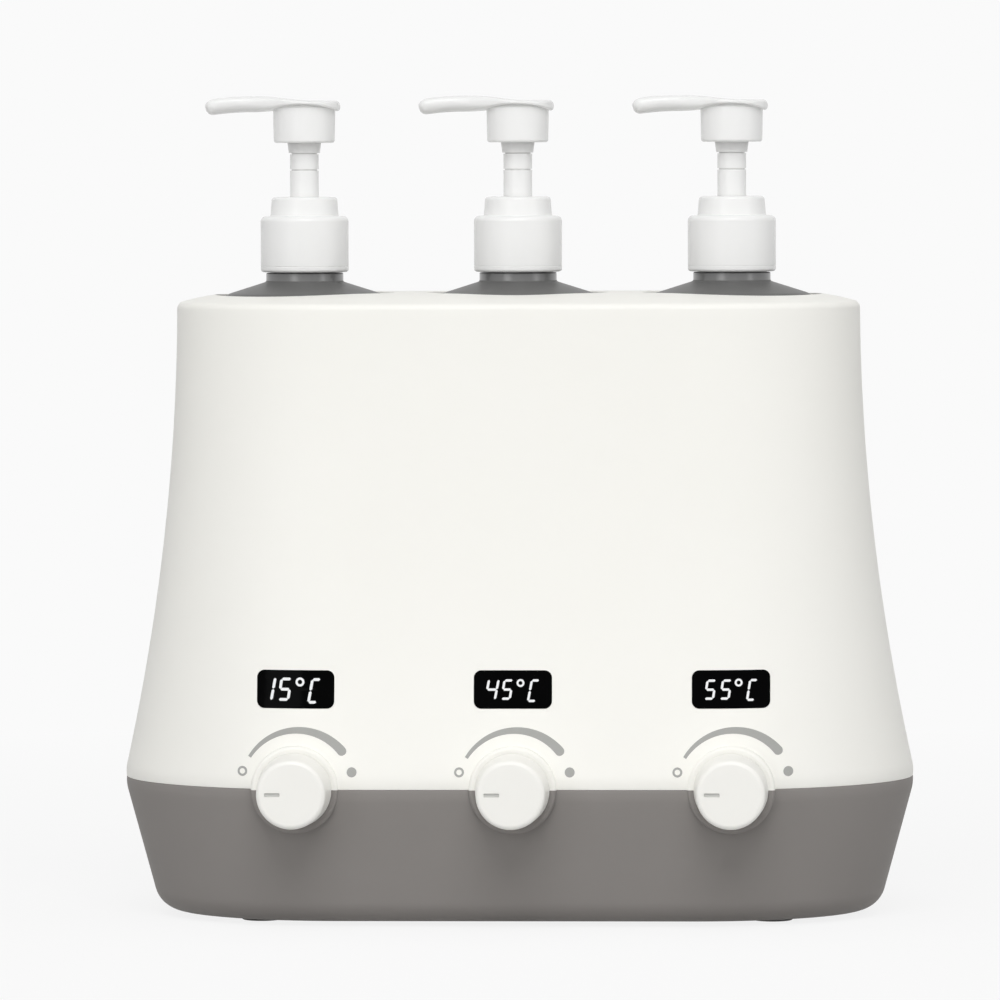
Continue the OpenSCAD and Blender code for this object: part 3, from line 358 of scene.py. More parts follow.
def moulded(name, colour, deep, roughness, grain=2600.0, spread=0.06, specular=0.5):
    """Moulded plastic: a fine spark-eroded grain, faint clouds in its colour and patches of rubbed sheen."""
    f = Finish(name)
    clouds = f.noise(14.0, 3.0)
    patches = f.noise(45.0, 4.0)
    skin = f.noise(grain, 2.0)
    return f.done(
        f.shine(
            base_color=f.tint(clouds, colour, deep),
            roughness=roughness - spread / 2 + patches * spread + skin * 0.03,
            specular_ior_level=specular,
            normal=f.bump(skin, 0.25, 0.00002),
        )
    )


def glossy_moulded(name, colour, deep, roughness, specular=0.5):
    """Polished moulding: flow lines so faint that only its sheen shows them, under a faint haze."""
    f = Finish(name)
    flow, haze = f.flow_lines(), f.noise(240.0, 3.0)
    return f.done(
        f.shine(
            base_color=f.tint(flow, colour, deep),
            roughness=roughness + flow * 0.02 + haze * 0.006,
            specular_ior_level=specular,
            normal=f.bump(flow, 0.02, 0.00004),
        )
    )


def bottle_finish(name):
    """Smoke-grey bottle: finely textured body under a polished neck."""
    f = Finish(name)
    flow, haze = f.flow_lines(), f.noise(240.0, 3.0)
    neck = f.add("SeparateXYZ", None, {0: f.place()}, "Z") > (NECK_Z + FOOT_H + 0.4) * MM
    body = f.tint(flow, linear(111, 111, 110), linear(106, 106, 105))
    return f.done(
        f.shine(
            base_color=f.tint(neck, body, linear(88, 88, 88)),
            roughness=0.36 + flow * 0.04 + haze * 0.03,
            specular_ior_level=0.12,
            coat_weight=neck * 1.0,
            coat_roughness=0.28,
            coat_ior=1.9,
            normal=f.bump(flow, 0.08, 0.00004),
        )
    )


def brushed_metal(name, colour, deep, roughness, across=(30.0, 30.0, 3000.0)):
    """Metal with fine drawn lines and faint stains."""
    f = Finish(name)
    lines = f.noise(1.0, 2.0, f.stretched(*across))
    stains = f.noise(40.0, 3.0)
    return f.done(
        f.shine(
            base_color=f.tint(stains, colour, deep),
            metallic=1.0,
            roughness=roughness + lines * 0.14,
            normal=f.bump(lines, 0.12, 0.00002),
        )
    )


def rubber(name):
    """Dull grey rubber with a coarse grain and dust."""
    f = Finish(name)
    grain = f.noise(1800.0, 3.0)
    dust = f.noise(160.0, 4.0)
    return f.done(
        f.shine(
            base_color=f.tint(dust, linear(150, 147, 144), linear(138, 136, 133)),
            roughness=0.72 + grain * 0.15,
            normal=f.bump(grain, 0.4, 0.00005),
        )
    )


def pane_gloss(name):
    """Smoked pane: near black all through, with a polished face."""
    f = Finish(name)
    haze = f.noise(90.0, 3.0)
    return f.done(
        f.shine(
            base_color=f.tint(haze, linear(2, 2, 2), linear(5, 5, 6)),
            roughness=0.06 + haze * 0.05,
            specular_ior_level=0.02,
        )
    )


def lit_figures(name):
    """Lit figures behind the pane: almost even white, a little dimmer in patches."""
    f = Finish(name)
    cells = f.noise(700.0, 1.0)
    return f.done(
        f.shine(
            base_color=linear(20, 20, 20),
            roughness=0.5,
            specular_ior_level=0.0,
            emission_color=f.tint(cells, linear(255, 255, 255), linear(236, 238, 240)),
            emission_strength=0.95,
        )
    )


def ink_and_painted_shade(name, colour, deep):
    """Flat speckled paint: printed ink on the dials, and painted shade on the floor of the pointer's groove."""
    f = Finish(name)
    speckle = f.noise(3200.0, 2.0)
    return f.done(
        f.shine(
            base_color=f.tint(speckle, colour, deep),
            roughness=0.55 + speckle * 0.15,
            normal=f.bump(speckle, 0.2, 0.00002),
        )
    )


def board_finish(name):
    """Board and its parts in one solid: lacquered green behind, black and blue parts in front of it."""
    f = Finish(name)
    depth = f.add("SeparateXYZ", None, {0: f.place()}, output="Y")
    parts = depth < (BOARD_FRONT_Y + ROW_Y - 0.05) * MM
    weave = f.noise(900.0, 2.0)
    tracks = f.noise(1.0, 1.0, f.stretched(260.0, 10.0, 60.0)) > 0.55
    green = f.tint(tracks, linear(18, 78, 44), linear(30, 102, 60))
    dark = f.tint(weave, linear(26, 26, 28), linear(40, 40, 42))
    return f.done(
        f.shine(
            base_color=f.tint(parts, green, dark),
            roughness=0.35 + weave * 0.2,
            normal=f.bump(weave, 0.3, 0.00003),
        )
    )


def heater_finish(name):
    """Polyimide heater film over a resistive track."""
    f = Finish(name)
    rings = {"wave_type": "RINGS", "rings_direction": "Z"}
    wave = f.add("TexWave", rings, {"Vector": f.place(), "Scale": 90.0})
    film = f.noise(300.0, 2.0)
    return f.done(
        f.shine(
            base_color=f.tint(wave, linear(196, 110, 30), linear(150, 74, 18)),
            roughness=0.3 + film * 0.2,
            normal=f.bump(wave, 0.3, 0.00005),
        )
    )


WHITE = linear(251, 250, 245)
FINISHES = {
    "housing_shell": moulded("warm_white_shell", WHITE, linear(248, 247, 241), 0.46, specular=0.3),
    "pan_shell": moulded(
        "warm_grey_shell", linear(147, 143, 140), linear(142, 138, 135), 0.6, spread=0.08, specular=0.15
    ),
    "rubber_feet": rubber("foot_rubber"),
    "screw_steel": brushed_metal("zinc_steel", linear(176, 178, 184), linear(150, 152, 158), 0.3),
    "board": board_finish("board_lacquer"),
    "electronics": moulded("sensor_body", linear(58, 66, 76), linear(48, 54, 62), 0.5),
    "inlet": moulded("inlet_black", linear(26, 26, 27), linear(34, 34, 35), 0.42, spread=0.1),
    "contacts": brushed_metal("nickel_pins", linear(206, 200, 186), linear(180, 174, 160), 0.22),
    "cup_metal": brushed_metal("drawn_aluminium", linear(214, 215, 217), linear(198, 200, 203), 0.26),
    "heater": heater_finish("heater_film"),
    "display": moulded("display_block", linear(232, 232, 228), linear(222, 222, 216), 0.5),
    "window": pane_gloss("smoked_pane"),
    "knob": moulded("warm_white_knob", WHITE, linear(249, 248, 243), 0.36, grain=3200.0),
    "shaft": brushed_metal("shaft_brass", linear(206, 184, 130), linear(184, 160, 108), 0.3),
    "bottle": bottle_finish("smoke_grey_bottle"),
    "pump_white": glossy_moulded("gloss_white_pump", linear(246, 246, 245), linear(243, 243, 242), 0.24, 0.35),
    "pump_clear": glossy_moulded("milky_pump_parts", linear(228, 230, 230), linear(214, 217, 218), 0.3),
    "seal": moulded("seal_foam", linear(220, 218, 208), linear(206, 203, 192), 0.7),
    "spring_steel": brushed_metal(
        "spring_wire", linear(190, 190, 194), linear(168, 168, 172), 0.2, (200.0, 200.0, 200.0)
    ),
}
FIGURES = lit_figures("lit_figures")
INK = ink_and_painted_shade("grey_print", linear(171, 171, 168), linear(163, 163, 160))
# The pointer's grey fill is painted shade: it darkens the groove's floor in place of the shadow that falls in the
# groove.
POINTER_SHADE = ink_and_painted_shade("pointer_painted_shade", linear(205, 205, 202), linear(197, 197, 194))


# ---------------------------------------------------------------- mesh tools


def sin(degrees):
    return math.sin(math.radians(degrees))


def cos(degrees):
    return math.cos(math.radians(degrees))


def tan(degrees):
    return math.tan(math.radians(degrees))


def solid(verts, faces, place=None):
    """Object of a closed mesh in millimetres, moved by place, with its faces turned outwards."""
    mesh = bpy.data.meshes.new("solid")
    mesh.from_pydata([tuple(v) for v in verts], [], faces)
    if place:
        mesh.transform(place)
    work = bmesh.new()
    work.from_mesh(mesh)
    bmesh.ops.recalc_face_normals(work, faces=work.faces)
    work.to_mesh(mesh)
    work.free()
    obj = bpy.data.objects.new("solid", mesh)
    bpy.context.scene.collection.objects.link(obj)
    return obj


def bake(obj):
    """Takes the object's modifiers into its mesh."""
    graph = bpy.context.evaluated_depsgraph_get()
    mesh = bpy.data.meshes.new_from_object(obj.evaluated_get(graph))
    obj.modifiers.clear()
    obj.data = mesh
    return obj


def combine(kind, obj, tools):
    for tool in tools:
        step = obj.modifiers.new(kind, "BOOLEAN")
        step.operation = kind
        step.solver = "MANIFOLD"
        step.object = tool
    bake(obj)
    for tool in tools:
        bpy.data.objects.remove(tool)
    return obj


def cut(obj, *tools):
    return combine("DIFFERENCE", obj, tools)


def fuse(obj, *tools):
    return combine("UNION", obj, tools)


def common(obj, *tools):
    return combine("INTERSECT", obj, tools)


def loft(rings, place=None):
    """Closed solid through a stack of rings of equal length."""
    n, m = len(rings[0]), len(rings)
    faces = [tuple(range(n)), tuple(range((m - 1) * n, m * n))]
    for i in range(m - 1):
        for j in range(n):
            p, q = i * n + j, i * n + (j + 1) % n
            faces.append((p, q, q + n, p + n))
    return solid([p for ring in rings for p in ring], faces, place)


def turned(profile, place=None, steps=96):
    """Closed profile of (radius, height) turned about the upright axis."""
    verts, rows = [], []
    for r, z in profile:
        if r < 1e-6:
            rows.append([len(verts)] * steps)
            verts.append((0.0, 0.0, z))
        else:
            rows.append(list(range(len(verts), len(verts) + steps)))
            verts += [(r * cos(360 * k / steps), r * sin(360 * k / steps), z) for k in range(steps)]
    faces = []
    for a, b in zip(rows, rows[1:] + rows[:1]):
        for k in range(steps):
            corners = [a[k], a[(k + 1) % steps], b[(k + 1) % steps], b[k]]
            face = [c for n, c in enumerate(corners) if c not in corners[:n]]
            if len(face) > 2:
                faces.append(tuple(face))
    return solid(verts, faces, place)


def arc(x, z, r, start, end, steps=8):
    """Points of an arc round (x, z), between two angles."""
    angles = [start + (end - start) * i / steps for i in range(steps + 1)]
    return [(x + r * cos(angle), z + r * sin(angle)) for angle in angles]


def rod(r, low, high, place=None, steps=96):
    return turned([(0, low), (r, low), (r, high), (0, high)], place, steps)


def block(low, high, place=None):
    corners = [(x, y, z) for x in (low[0], high[0]) for y in (low[1], high[1]) for z in (low[2], high[2])]
    faces = [(0, 1, 3, 2), (4, 6, 7, 5), (0, 4, 5, 1), (2, 3, 7, 6), (0, 2, 6, 4), (1, 5, 7, 3)]
    return solid(corners, faces, place)


def rounded(w, h, r, steps=8, along=1):
    """Outline of a rounded rectangle, with so many pieces on each straight side."""
    a, b = w / 2 - r, h / 2 - r
    corners = [(a, b, 0), (-a, b, 90), (-a, -b, 180), (a, -b, 270)]
    points = []
    for n, (x, z, start) in enumerate(corners):
        points += arc(x, z, r, start, start + 90, steps)
        end, (nx, nz, _) = points[-1], corners[(n + 1) % 4]
        begin = (nx + r * cos(start + 90), nz + r * sin(start + 90))
        points += [(end[0] + (begin[0] - end[0]) * k / along, end[1] + (begin[1] - end[1]) * k / along)
                   for k in range(1, along)]
    return points


def front_plate(w, h, r, y_front, y_back, place=None, edge=0.0):
    """Rounded plate that faces the front, between two distances in front of the bottles."""
    outline = [(0.0, y_back)]
    if edge:
        outline += [(edge - x, y) for x, y in arc(0, y_front - edge, edge, 0, 90, 4)]
    else:
        outline.append((0.0, y_front))
    return loft([[(x, -y, z) for x, z in rounded(w - 2 * d, h - 2 * d, r - d)] for d, y in outline], place)


def shift(x=0.0, y=0.0, z=0.0):
    return Matrix.Translation((x, y, z))


def station_x(i):
    return (i - 1) * PITCH


def facing(i, y, side=1):
    """Place of a part turned about dial i's axis, whose upright axis points out (1) or in (-1) from distance y."""
    return shift(station_x(i), -y, SEAM_Z) @ Matrix.Rotation(math.radians(90 * side), 4, "X")


def put(obj, name, body, slot=None, stands_for=(), x=0.0, sharp=32.0, finish=None):
    """Makes a worked solid into a finished piece that rides on a body."""
    obj.name = name
    obj.data.name = name
    obj.data.transform(Matrix.Scale(MM, 4) @ shift(x, ROW_Y, FOOT_H))
    obj.data.shade_smooth()
    obj.data.set_sharp_from_angle(angle=math.radians(sharp))
    even = obj.modifiers.new("even", "WEIGHTED_NORMAL")
    even.keep_sharp = True
    even.weight = 50
    obj.data.materials.clear()
    obj.data.materials.append(finish or FINISHES[slot])
    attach(obj, body)
    if stands_for:
        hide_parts(*stands_for)
    return obj


def copies(obj):
    """One copy of a worked solid for each station, in place of the solid itself."""
    for i, station in enumerate(STATIONS):
        copy = bpy.data.objects.new("copy", obj.data.copy())
        bpy.context.scene.collection.objects.link(copy)
        yield i, station, copy
    bpy.data.objects.remove(obj)


def put_at_stations(obj, name, body, slot, node):
    """Puts one copy of a worked solid at each station in the place of a CAD node."""
    for i, station, copy in copies(obj):
        put(copy, f"{station}_{name}", f"{station}_{body}" if body != "warmer" else body,
            slot, [f"{station}_{node}"], station_x(i))


# ---------------------------------------------------------------- housing and pan


def outline(a, b, arc_steps, flat_steps):
    """Outline of the body at half-width a and half-depth b: a straight front and back with elliptic ends."""
    points = []
    for q in range(4):
        side = 1 if q in (0, 3) else -1
        for k in range(1 if q == 2 else 0, arc_steps if q == 3 else arc_steps + 1):
            th = 90 * (q + k / arc_steps)
            points.append((side * FRONT_FLAT / 2 + (a - FRONT_FLAT / 2) * cos(th), b * sin(th)))
        if q in (0, 2):
            x, y = points[-1]
            points += [(x - 2 * x * k / flat_steps, y) for k in range(1, flat_steps)]
    return points


def ring(a, b, d, z, steps=(40, 10)):
    """The outline a distance d inside half-width a and half-depth b, at height z."""
    return [(x, y, z) for x, y in outline(a - d, b - d, *steps)]


def flared(z):
    """How far the wall at height z stands outside its top."""
    return FLARE * ((CROWN_Z - z) / (CROWN_Z - SEAM_Z)) ** 2


def wall_ring(d, z, steps=(40, 10)):
    return ring(TOP_HALF_W + flared(z), TOP_HALF_D + flared(z), d, z, steps)


def front_at(x, z):
    """Distance of the wall's front face from the bottles' row at x and z."""
    a, b, over = TOP_HALF_W + flared(z), TOP_HALF_D + flared(z), max(0.0, abs(x) - FRONT_FLAT / 2)
    return b * math.sqrt(1 - (over / (a - FRONT_FLAT / 2)) ** 2)


def crown_at(d):
    """Height of the crown, a distance d in from its edge."""
    return CROWN_Z - CROWN_DROP * (1 - min(d, CROWN_ROLL) / CROWN_ROLL) ** CROWN_POWER


def eased(h):
    """How far the wall draws in, a height h away from the seam."""
    return SEAM_EASE * (1 - h / SEAM_EASE_H) ** 2 if h < SEAM_EASE_H else 0.0


RIM_IN = RIM_ROUND * (1 - sin(ROLL_SLOPE))
RIM_Z = crown_at(RIM_IN) - RIM_ROUND * cos(ROLL_SLOPE)
EDGE_BREAK = 0.3


def wall_heights(steps):
    low = SEAM_Z + SEAM_EASE_H
    return [low + (RIM_Z - low) * i / steps for i in range(steps + 1)]


def housing_blank():
    rings = [wall_ring(eased(0) + EDGE_BREAK, SEAM_Z)]
    for t in (30, 60):
        rings.append(wall_ring(eased(EDGE_BREAK) + EDGE_BREAK * (1 - sin(t)), SEAM_Z + EDGE_BREAK * (1 - cos(t))))
    rings += [wall_ring(eased(EDGE_BREAK + h), SEAM_Z + EDGE_BREAK + h)
              for h in [(SEAM_EASE_H - EDGE_BREAK) * i / 8 for i in range(8)]]
    rings += [wall_ring(0, z) for z in wall_heights(36)]
    for i in range(1, 11):
        t = (90 - ROLL_SLOPE) * i / 10
        rings.append(ring(TOP_HALF_W, TOP_HALF_D, RIM_ROUND * (1 - cos(t)), RIM_Z + RIM_ROUND * sin(t)))
    for i in range(1, 15):
        d = RIM_IN + (CROWN_ROLL - RIM_IN) * i / 14
        rings.append(ring(TOP_HALF_W, TOP_HALF_D, d, crown_at(d)))
    return loft(rings)


def housing_hollow():
    few = (20, 4)
    rings = [wall_ring(WALL, SEAM_Z - PASS, few)]
    rings += [wall_ring(WALL, z, few) for z in wall_heights(12) if z < RIM_Z - 1]
    for i in range(7):
        d = WALL + (CROWN_ROLL - WALL) * i / 6
        rings.append(ring(TOP_HALF_W, TOP_HALF_D, d, crown_at(d) - WALL, few))
    return loft(rings)


def boss_y(i):
    return front_at(station_x(i), SEAM_Z) - SEAM_EASE + BOSS_PROUD


def boss_half(i, side):
    """Upper (1) or lower (-1) half of the round boss behind dial i, with a rounded front edge."""
    back, room = SEAM_HALF_D - 22, 50
    length = boss_y(i) - back
    profile = [(0, 0), (BOSS_R, 0), *arc(BOSS_R - BOSS_ROUND, length - BOSS_ROUND, BOSS_ROUND, 0, 90), (0, length)]
    whole = turned(profile, facing(i, back), 128)
    low, high = (SEAM_Z, SEAM_Z + room) if side > 0 else (SEAM_Z - room, SEAM_Z)
    return common(whole, block((-BEYOND, -BEYOND, low), (BEYOND, BEYOND, high)))


def boss_hollows():
    """Room behind the bosses' faces, and the holes for the shafts."""
    tools = []
    for i in range(3):
        y = boss_y(i)
        tools.append(rod(BOSS_R - WALL, WALL, y + BOARD_FRONT_Y - PASS, facing(i, y, -1)))
        tools.append(rod(SHAFT_R + 1, -PASS, WALL + PASS, facing(i, y, -1)))
    return tools


def conforming_plate(i, w, h, r, profile):
    """Plate on the wall's face at display i; profile holds (inset, depth) from its back to its middle."""
    x0, along = station_x(i), 16
    rings = []
    for inset, depth in profile:
        rings.append([(x0 + x, -(front_at(x0 + x, WINDOW_Z + z) - depth), WINDOW_Z + z)
                      for x, z in rounded(w - 2 * inset, h - 2 * inset, max(r - inset, 0.02), 8, along)])
    return loft(rings)


def hanging_post(p):
    """Screw post over the seam, with a rib that ties it to the wall."""
    top = SEAM_Z + SCREW_BITE + 4
    rib_z = SEAM_Z + TONGUE_H + FUSE
    x, y = p
    if abs(x) > PITCH:
        rib = block((x, y - 1, rib_z), (x + math.copysign(SEAM_HALF_W, x), y + 1, top))
    else:
        rib = block((x - 1, y, rib_z), (x + 1, y + SEAM_HALF_W, top))
    return fuse(rod(POST_R, SEAM_Z, top, shift(x, y), 48), rib)


# Steps from a pane's edge to its middle, so that its faces curve with the wall
INSETS = (6.0, 4.5, 3.0, 1.5, 0.0)


def window_tools(i):
    """The pane's pocket and the smaller hole behind its ledge."""
    w, h = WINDOW_W + 2 * PANE_GAP, WINDOW_H + 2 * PANE_GAP
    back = [(inset, PANE_T + SEAT) for inset in INSETS]
    pocket = conforming_plate(i, w, h, WINDOW_ROUND + PANE_GAP, back + [(0, -4.0)])
    w, h = WINDOW_W - 2 * PANE_LEDGE, WINDOW_H - 2 * PANE_LEDGE
    hole = conforming_plate(i, w, h, WINDOW_ROUND - PANE_LEDGE / 2, [(0, WALL + 3), (0, -3.0)])
    return [pocket, hole]


def make_housing():
    shell = housing_blank()
    fuse(shell, *[boss_half(i, 1) for i in range(3)])
    hollow = housing_hollow()
    sleeve_z, well_r = CUP_TOP_Z - SLEEVE_LEN, BOTTLE_R + WELL_GAP
    cut(hollow, *[rod(SLEEVE_R, sleeve_z, CROWN_Z + PASS, shift(station_x(i))) for i in range(3)])
    cut(hollow, *[hanging_post(p) for p in SCREW_PLACES])
    cut(shell, hollow)
    for i in range(3):
        well = [(0, LIP_Z - PASS), (well_r, LIP_Z - PASS)]
        well += [(well_r + WELL_ROUND - x, z) for x, z in arc(0, CROWN_Z - WELL_ROUND, WELL_ROUND, 0, 90, 5)]
        well += [(well_r + WELL_ROUND, CROWN_Z + PASS), (0, CROWN_Z + PASS)]
        cut(shell, turned(well, shift(station_x(i)), 160),
            rod(CUP_OUT_R + SLEEVE_GAP, sleeve_z - PASS, LIP_Z, shift(station_x(i)), 128))
        cut(shell, *window_tools(i))
    cut(shell, *boss_hollows())
    low, high = SEAM_Z - PASS, SEAM_Z + SCREW_BITE + 1
    cut(shell, *[rod(SCREW_R + SEAT, low, high, shift(*p), 32) for p in SCREW_PLACES])
    put(shell, "upper_shell", "warmer", "housing_shell", ["housing"], sharp=28.0)


def pan_in(z):
    """How far the pan's side at height z stands inside the seam."""
    return (SEAM_Z - z) * tan(PAN_SLOPE)


PAN_FOOT_IN = pan_in(PAN_ROUND) + PAN_ROUND / cos(PAN_SLOPE)


def pan_rings(t, round_steps, steps=(40, 10)):
    """Rings of the pan a wall t inside its face, from its underside up to where the seam's ease begins."""
    rings = []
    for i in range(round_steps + 1):
        u = -90 + (90 - PAN_SLOPE) * i / round_steps
        rings.append(ring(SEAM_HALF_W, SEAM_HALF_D, PAN_FOOT_IN - (PAN_ROUND - t) * cos(u),
                          PAN_ROUND + (PAN_ROUND - t) * sin(u), steps))
    low, high = PAN_ROUND, SEAM_Z - SEAM_EASE_H
    rings += [ring(SEAM_HALF_W, SEAM_HALF_D, pan_in(z) + t / cos(PAN_SLOPE), z, steps)
              for z in [low + (high - low) * k / 8 for k in range(1, 9)]]
    return rings


def pan_blank():
    rings = pan_rings(0, 14)
    rings += [ring(SEAM_HALF_W, SEAM_HALF_D, pan_in(SEAM_Z - h) + eased(h), SEAM_Z - h)
              for h in [EDGE_BREAK + (SEAM_EASE_H - EDGE_BREAK) * k / 8 for k in range(7, -1, -1)]]
    for t in (30, 60, 90):
        d, z = eased(0) + EDGE_BREAK * (1 - cos(t)), SEAM_Z - EDGE_BREAK * (1 - sin(t))
        rings.append(ring(SEAM_HALF_W, SEAM_HALF_D, d, z))
    return loft(rings)


def pan_tongue():
    """Upright tongue along the pan's rim, that reaches up inside the housing's wall."""
    foot, outer = SEAM_Z - 4, WALL + TONGUE_GAP
    inner = outer + TONGUE_T
    tongue = loft([ring(SEAM_HALF_W, SEAM_HALF_D, pan_in(foot) + PAN_FLOOR - FUSE, foot),
                   wall_ring(outer - FUSE, SEAM_Z - FUSE), wall_ring(outer, SEAM_Z),
                   wall_ring(outer, SEAM_Z + TONGUE_H)])
    core = loft([ring(SEAM_HALF_W, SEAM_HALF_D, inner, foot - PASS),
                 wall_ring(inner, SEAM_Z), wall_ring(inner, SEAM_Z + TONGUE_H + PASS)])
    return cut(tongue, core, *boss_hollows())


def make_pan():
    shell = pan_blank()
    fuse(shell, *[boss_half(i, -1) for i in range(3)])
    few = (20, 4)
    hollow = loft(pan_rings(PAN_FLOOR, 6, few)
                  + [ring(SEAM_HALF_W, SEAM_HALF_D, PAN_FLOOR / cos(PAN_SLOPE), SEAM_Z + PASS, few)])
    cut(shell, hollow, *boss_hollows())

    fuse(shell, pan_tongue())
    cradle_z = CUP_BASE_Z + CRADLE_H
    fuse(shell, *[rod(CRADLE_R, PAN_FLOOR - FUSE, cradle_z, shift(station_x(i))) for i in range(3)])
    fuse(shell, *[rod(POST_R, PAN_FLOOR - FUSE, SEAM_Z, shift(*p), 48) for p in SCREW_PLACES])
    for share in (-0.44, 0, 0.44):
        x, y, z, slot_half = share * BOARD_W, BOARD_Y - BOARD_T / 2, PAN_FLOOR, BOARD_T / 2 + SEAT
        rail = block((x - 4, y - 3, z - FUSE), (x + 4, y + 3, z + 8))
        cut(rail, block((x - 5, y - slot_half, z + 2), (x + 5, y + slot_half, z + 8 + PASS)))
        fuse(shell, rail)
    fuse(shell, front_plate(INLET_W + 6, INLET_H + 6, 4, INLET_Y - 0.6, INLET_BACK_Y + 4, BEHIND))
    for i in range(3):
        cut(shell, rod(CUP_OUT_R + SLEEVE_GAP, CUP_BASE_Z, cradle_z + PASS, shift(station_x(i))),
            rod(HEATER_R + HEATER_SPACE, PAN_FLOOR, CUP_BASE_Z + PASS, shift(station_x(i))))
    for p in SCREW_PLACES:
        cut(shell, rod(SCREW_R + SCREW_GAP, -PASS, SEAM_Z + PASS, shift(*p), 32),
            rod(SCREW_HEAD_R + SCREW_HEAD_GAP, -PASS, SEAM_Z - SCREW_SEAT, shift(*p), 48))
    cut(shell, *[rod(FOOT_R + 0.1, -PASS, FOOT_SINK, shift(*p)) for p in FEET])
    w, h = SOCKET_W + 2 * SOCKET_WALL + 0.2, SOCKET_H + 2 * SOCKET_WALL + 0.2
    cut(shell, front_plate(w, h, 2.1, INLET_Y + PASS, INLET_BACK_Y, BEHIND),
        front_plate(INLET_W + 0.2, INLET_H + 0.2, 2.6, INLET_Y + PASS, INLET_Y - 2.6, BEHIND))
    put(shell, "lower_pan", "warmer", "pan_shell", ["base_pan"], sharp=28.0)


INLET_Y = SEAM_HALF_D - pan_in(INLET_Z + INLET_H / 2) + 0.5
INLET_BACK_Y = INLET_Y - SOCKET_D - 3
BEHIND = shift(0, 0, INLET_Z) @ Matrix.Rotation(math.pi, 4, "Z")


def make_inlet():
    """Mains inlet with a broken edge round its frame and a waisted socket."""
    body = front_plate(INLET_W, INLET_H, 2.5, INLET_Y, INLET_Y - 2.5, BEHIND, edge=0.5)
    w, h = SOCKET_W + 2 * SOCKET_WALL, SOCKET_H + 2 * SOCKET_WALL
    fuse(body, front_plate(w, h, 2, INLET_Y - 2, INLET_BACK_Y, BEHIND))
    cut(body, front_plate(SOCKET_W, SOCKET_H, SOCKET_H / 2 - 0.05, INLET_Y + PASS, INLET_Y - SOCKET_D, BEHIND))
    low = INLET_BACK_Y - PASS
    for s in (-1, 1):
        place = BEHIND @ shift(s * PIN_PITCH / 2) @ Matrix.Rotation(math.radians(90), 4, "X")
        cut(body, rod(PIN_R + SEAT, low, low + SOCKET_D, place, 32))
    put(body, "inlet_body", "warmer", "inlet", ["mains_inlet"])


def make_feet():
    """Rubber feet with a rounded edge and three shallow rings underneath."""
    edge, ring_z = 0.8, 0.35 - FOOT_H
    profile = [(0, -FOOT_H)]
    for r in (1.6, 3.2, 4.8):
        profile += [(r, -FOOT_H), (r + 0.15, ring_z), (r + 0.55, ring_z), (r + 0.7, -FOOT_H)]
    profile += arc(FOOT_R - edge, edge - FOOT_H, edge, -90, 0, 6) + [(FOOT_R, FOOT_SINK), (0, FOOT_SINK)]
    feet = None
    for p in FEET:
        foot = turned(profile, shift(*p), 64)
        feet = fuse(feet, foot) if feet else foot
    put(feet, "rubber_pads", "warmer", "rubber_feet", ["feet"])


# ---------------------------------------------------------------- displays and dials


def wall_point(i, x, z, proud):
    """Point over or under the wall's face, at x and z from the middle of window or dial i."""
    x0 = station_x(i) + x
    return (x0, -(front_at(x0, z) + proud), z)


def on_wall(i, loops, z0, proud, deep):
    """Thin solid on the wall's face; loops holds (outer line, inner line, closed), each line in (x, z)."""
    verts, faces = [], []
    for outer, inner, closed in loops:
        n, base = len(outer), len(verts)
        for line, height in ((outer, proud), (inner, proud), (inner, -deep), (outer, -deep)):
            verts += [wall_point(i, x, z0 + z, height) for x, z in line]
        for j in range(n if closed else n - 1):
            k = (j + 1) % n
            for row in range(4):
                a, b = base + row * n, base + (row + 1) % 4 * n
                faces.append((a + j, a + k, b + k, b + j))
        if not closed:
            faces.append(tuple(base + row * n for row in range(4)))
            faces.append(tuple(base + row * n + n - 1 for row in range(4)))
    return solid(verts, faces)


# Seven-segment figure, in a cell of 1 by 2: ends of the middle line of each segment
SEGMENTS = {
    "top": ((0, 2), (1, 2)),
    "high_left": ((0, 2), (0, 1)),
    "high_right": ((1, 2), (1, 1)),
    "middle": ((0, 1), (1, 1)),
    "low_left": ((0, 1), (0, 0)),
    "low_right": ((1, 1), (1, 0)),
    "bottom": ((0, 0), (1, 0)),
}
FIGURE_SEGMENTS = {
    "1": ("high_right", "low_right"),
    "4": ("high_left", "middle", "high_right", "low_right"),
    "5": ("top", "high_left", "middle", "low_right", "bottom"),
    "C": ("top", "high_left", "low_left", "bottom"),
}
FIGURE_PROUD = 0.02
INK_PROUD = 0.03
PRINT_DEEP = 0.05


def segment_loops(figure, x, z, w, h, slant, stroke):
    """Bars of one figure, each with pointed ends, leaning to the right."""
    gap, point, tip_half = 0.1, stroke * 0.42, 0.04
    loops = []
    for name in FIGURE_SEGMENTS[figure]:
        (x1, z1), (x2, z2) = SEGMENTS[name]
        ax, az, bx, bz = x1 * w, z1 * h / 2, x2 * w, z2 * h / 2
        length = math.hypot(bx - ax, bz - az)
        ux, uz = (bx - ax) / length, (bz - az) / length
        upper, lower = [], []
        for along, half in ((gap, tip_half), (gap + point, stroke / 2), (length / 2, stroke / 2),
                            (length - gap - point, stroke / 2), (length - gap, tip_half)):
            px, pz = ax + ux * along, az + uz * along
            for line, side in ((upper, 1), (lower, -1)):
                qx, qz = px - uz * half * side, pz + ux * half * side
                line.append((x + qx + slant * qz, z + qz))
        loops.append((upper, lower, False))
    return loops


def ring_loop(x, z, outer, inner, steps=32):
    lines = [[(x + r * cos(360 * k / steps), z + r * sin(360 * k / steps)) for k in range(steps)]
             for r in (outer, inner)]
    return (*lines, True)


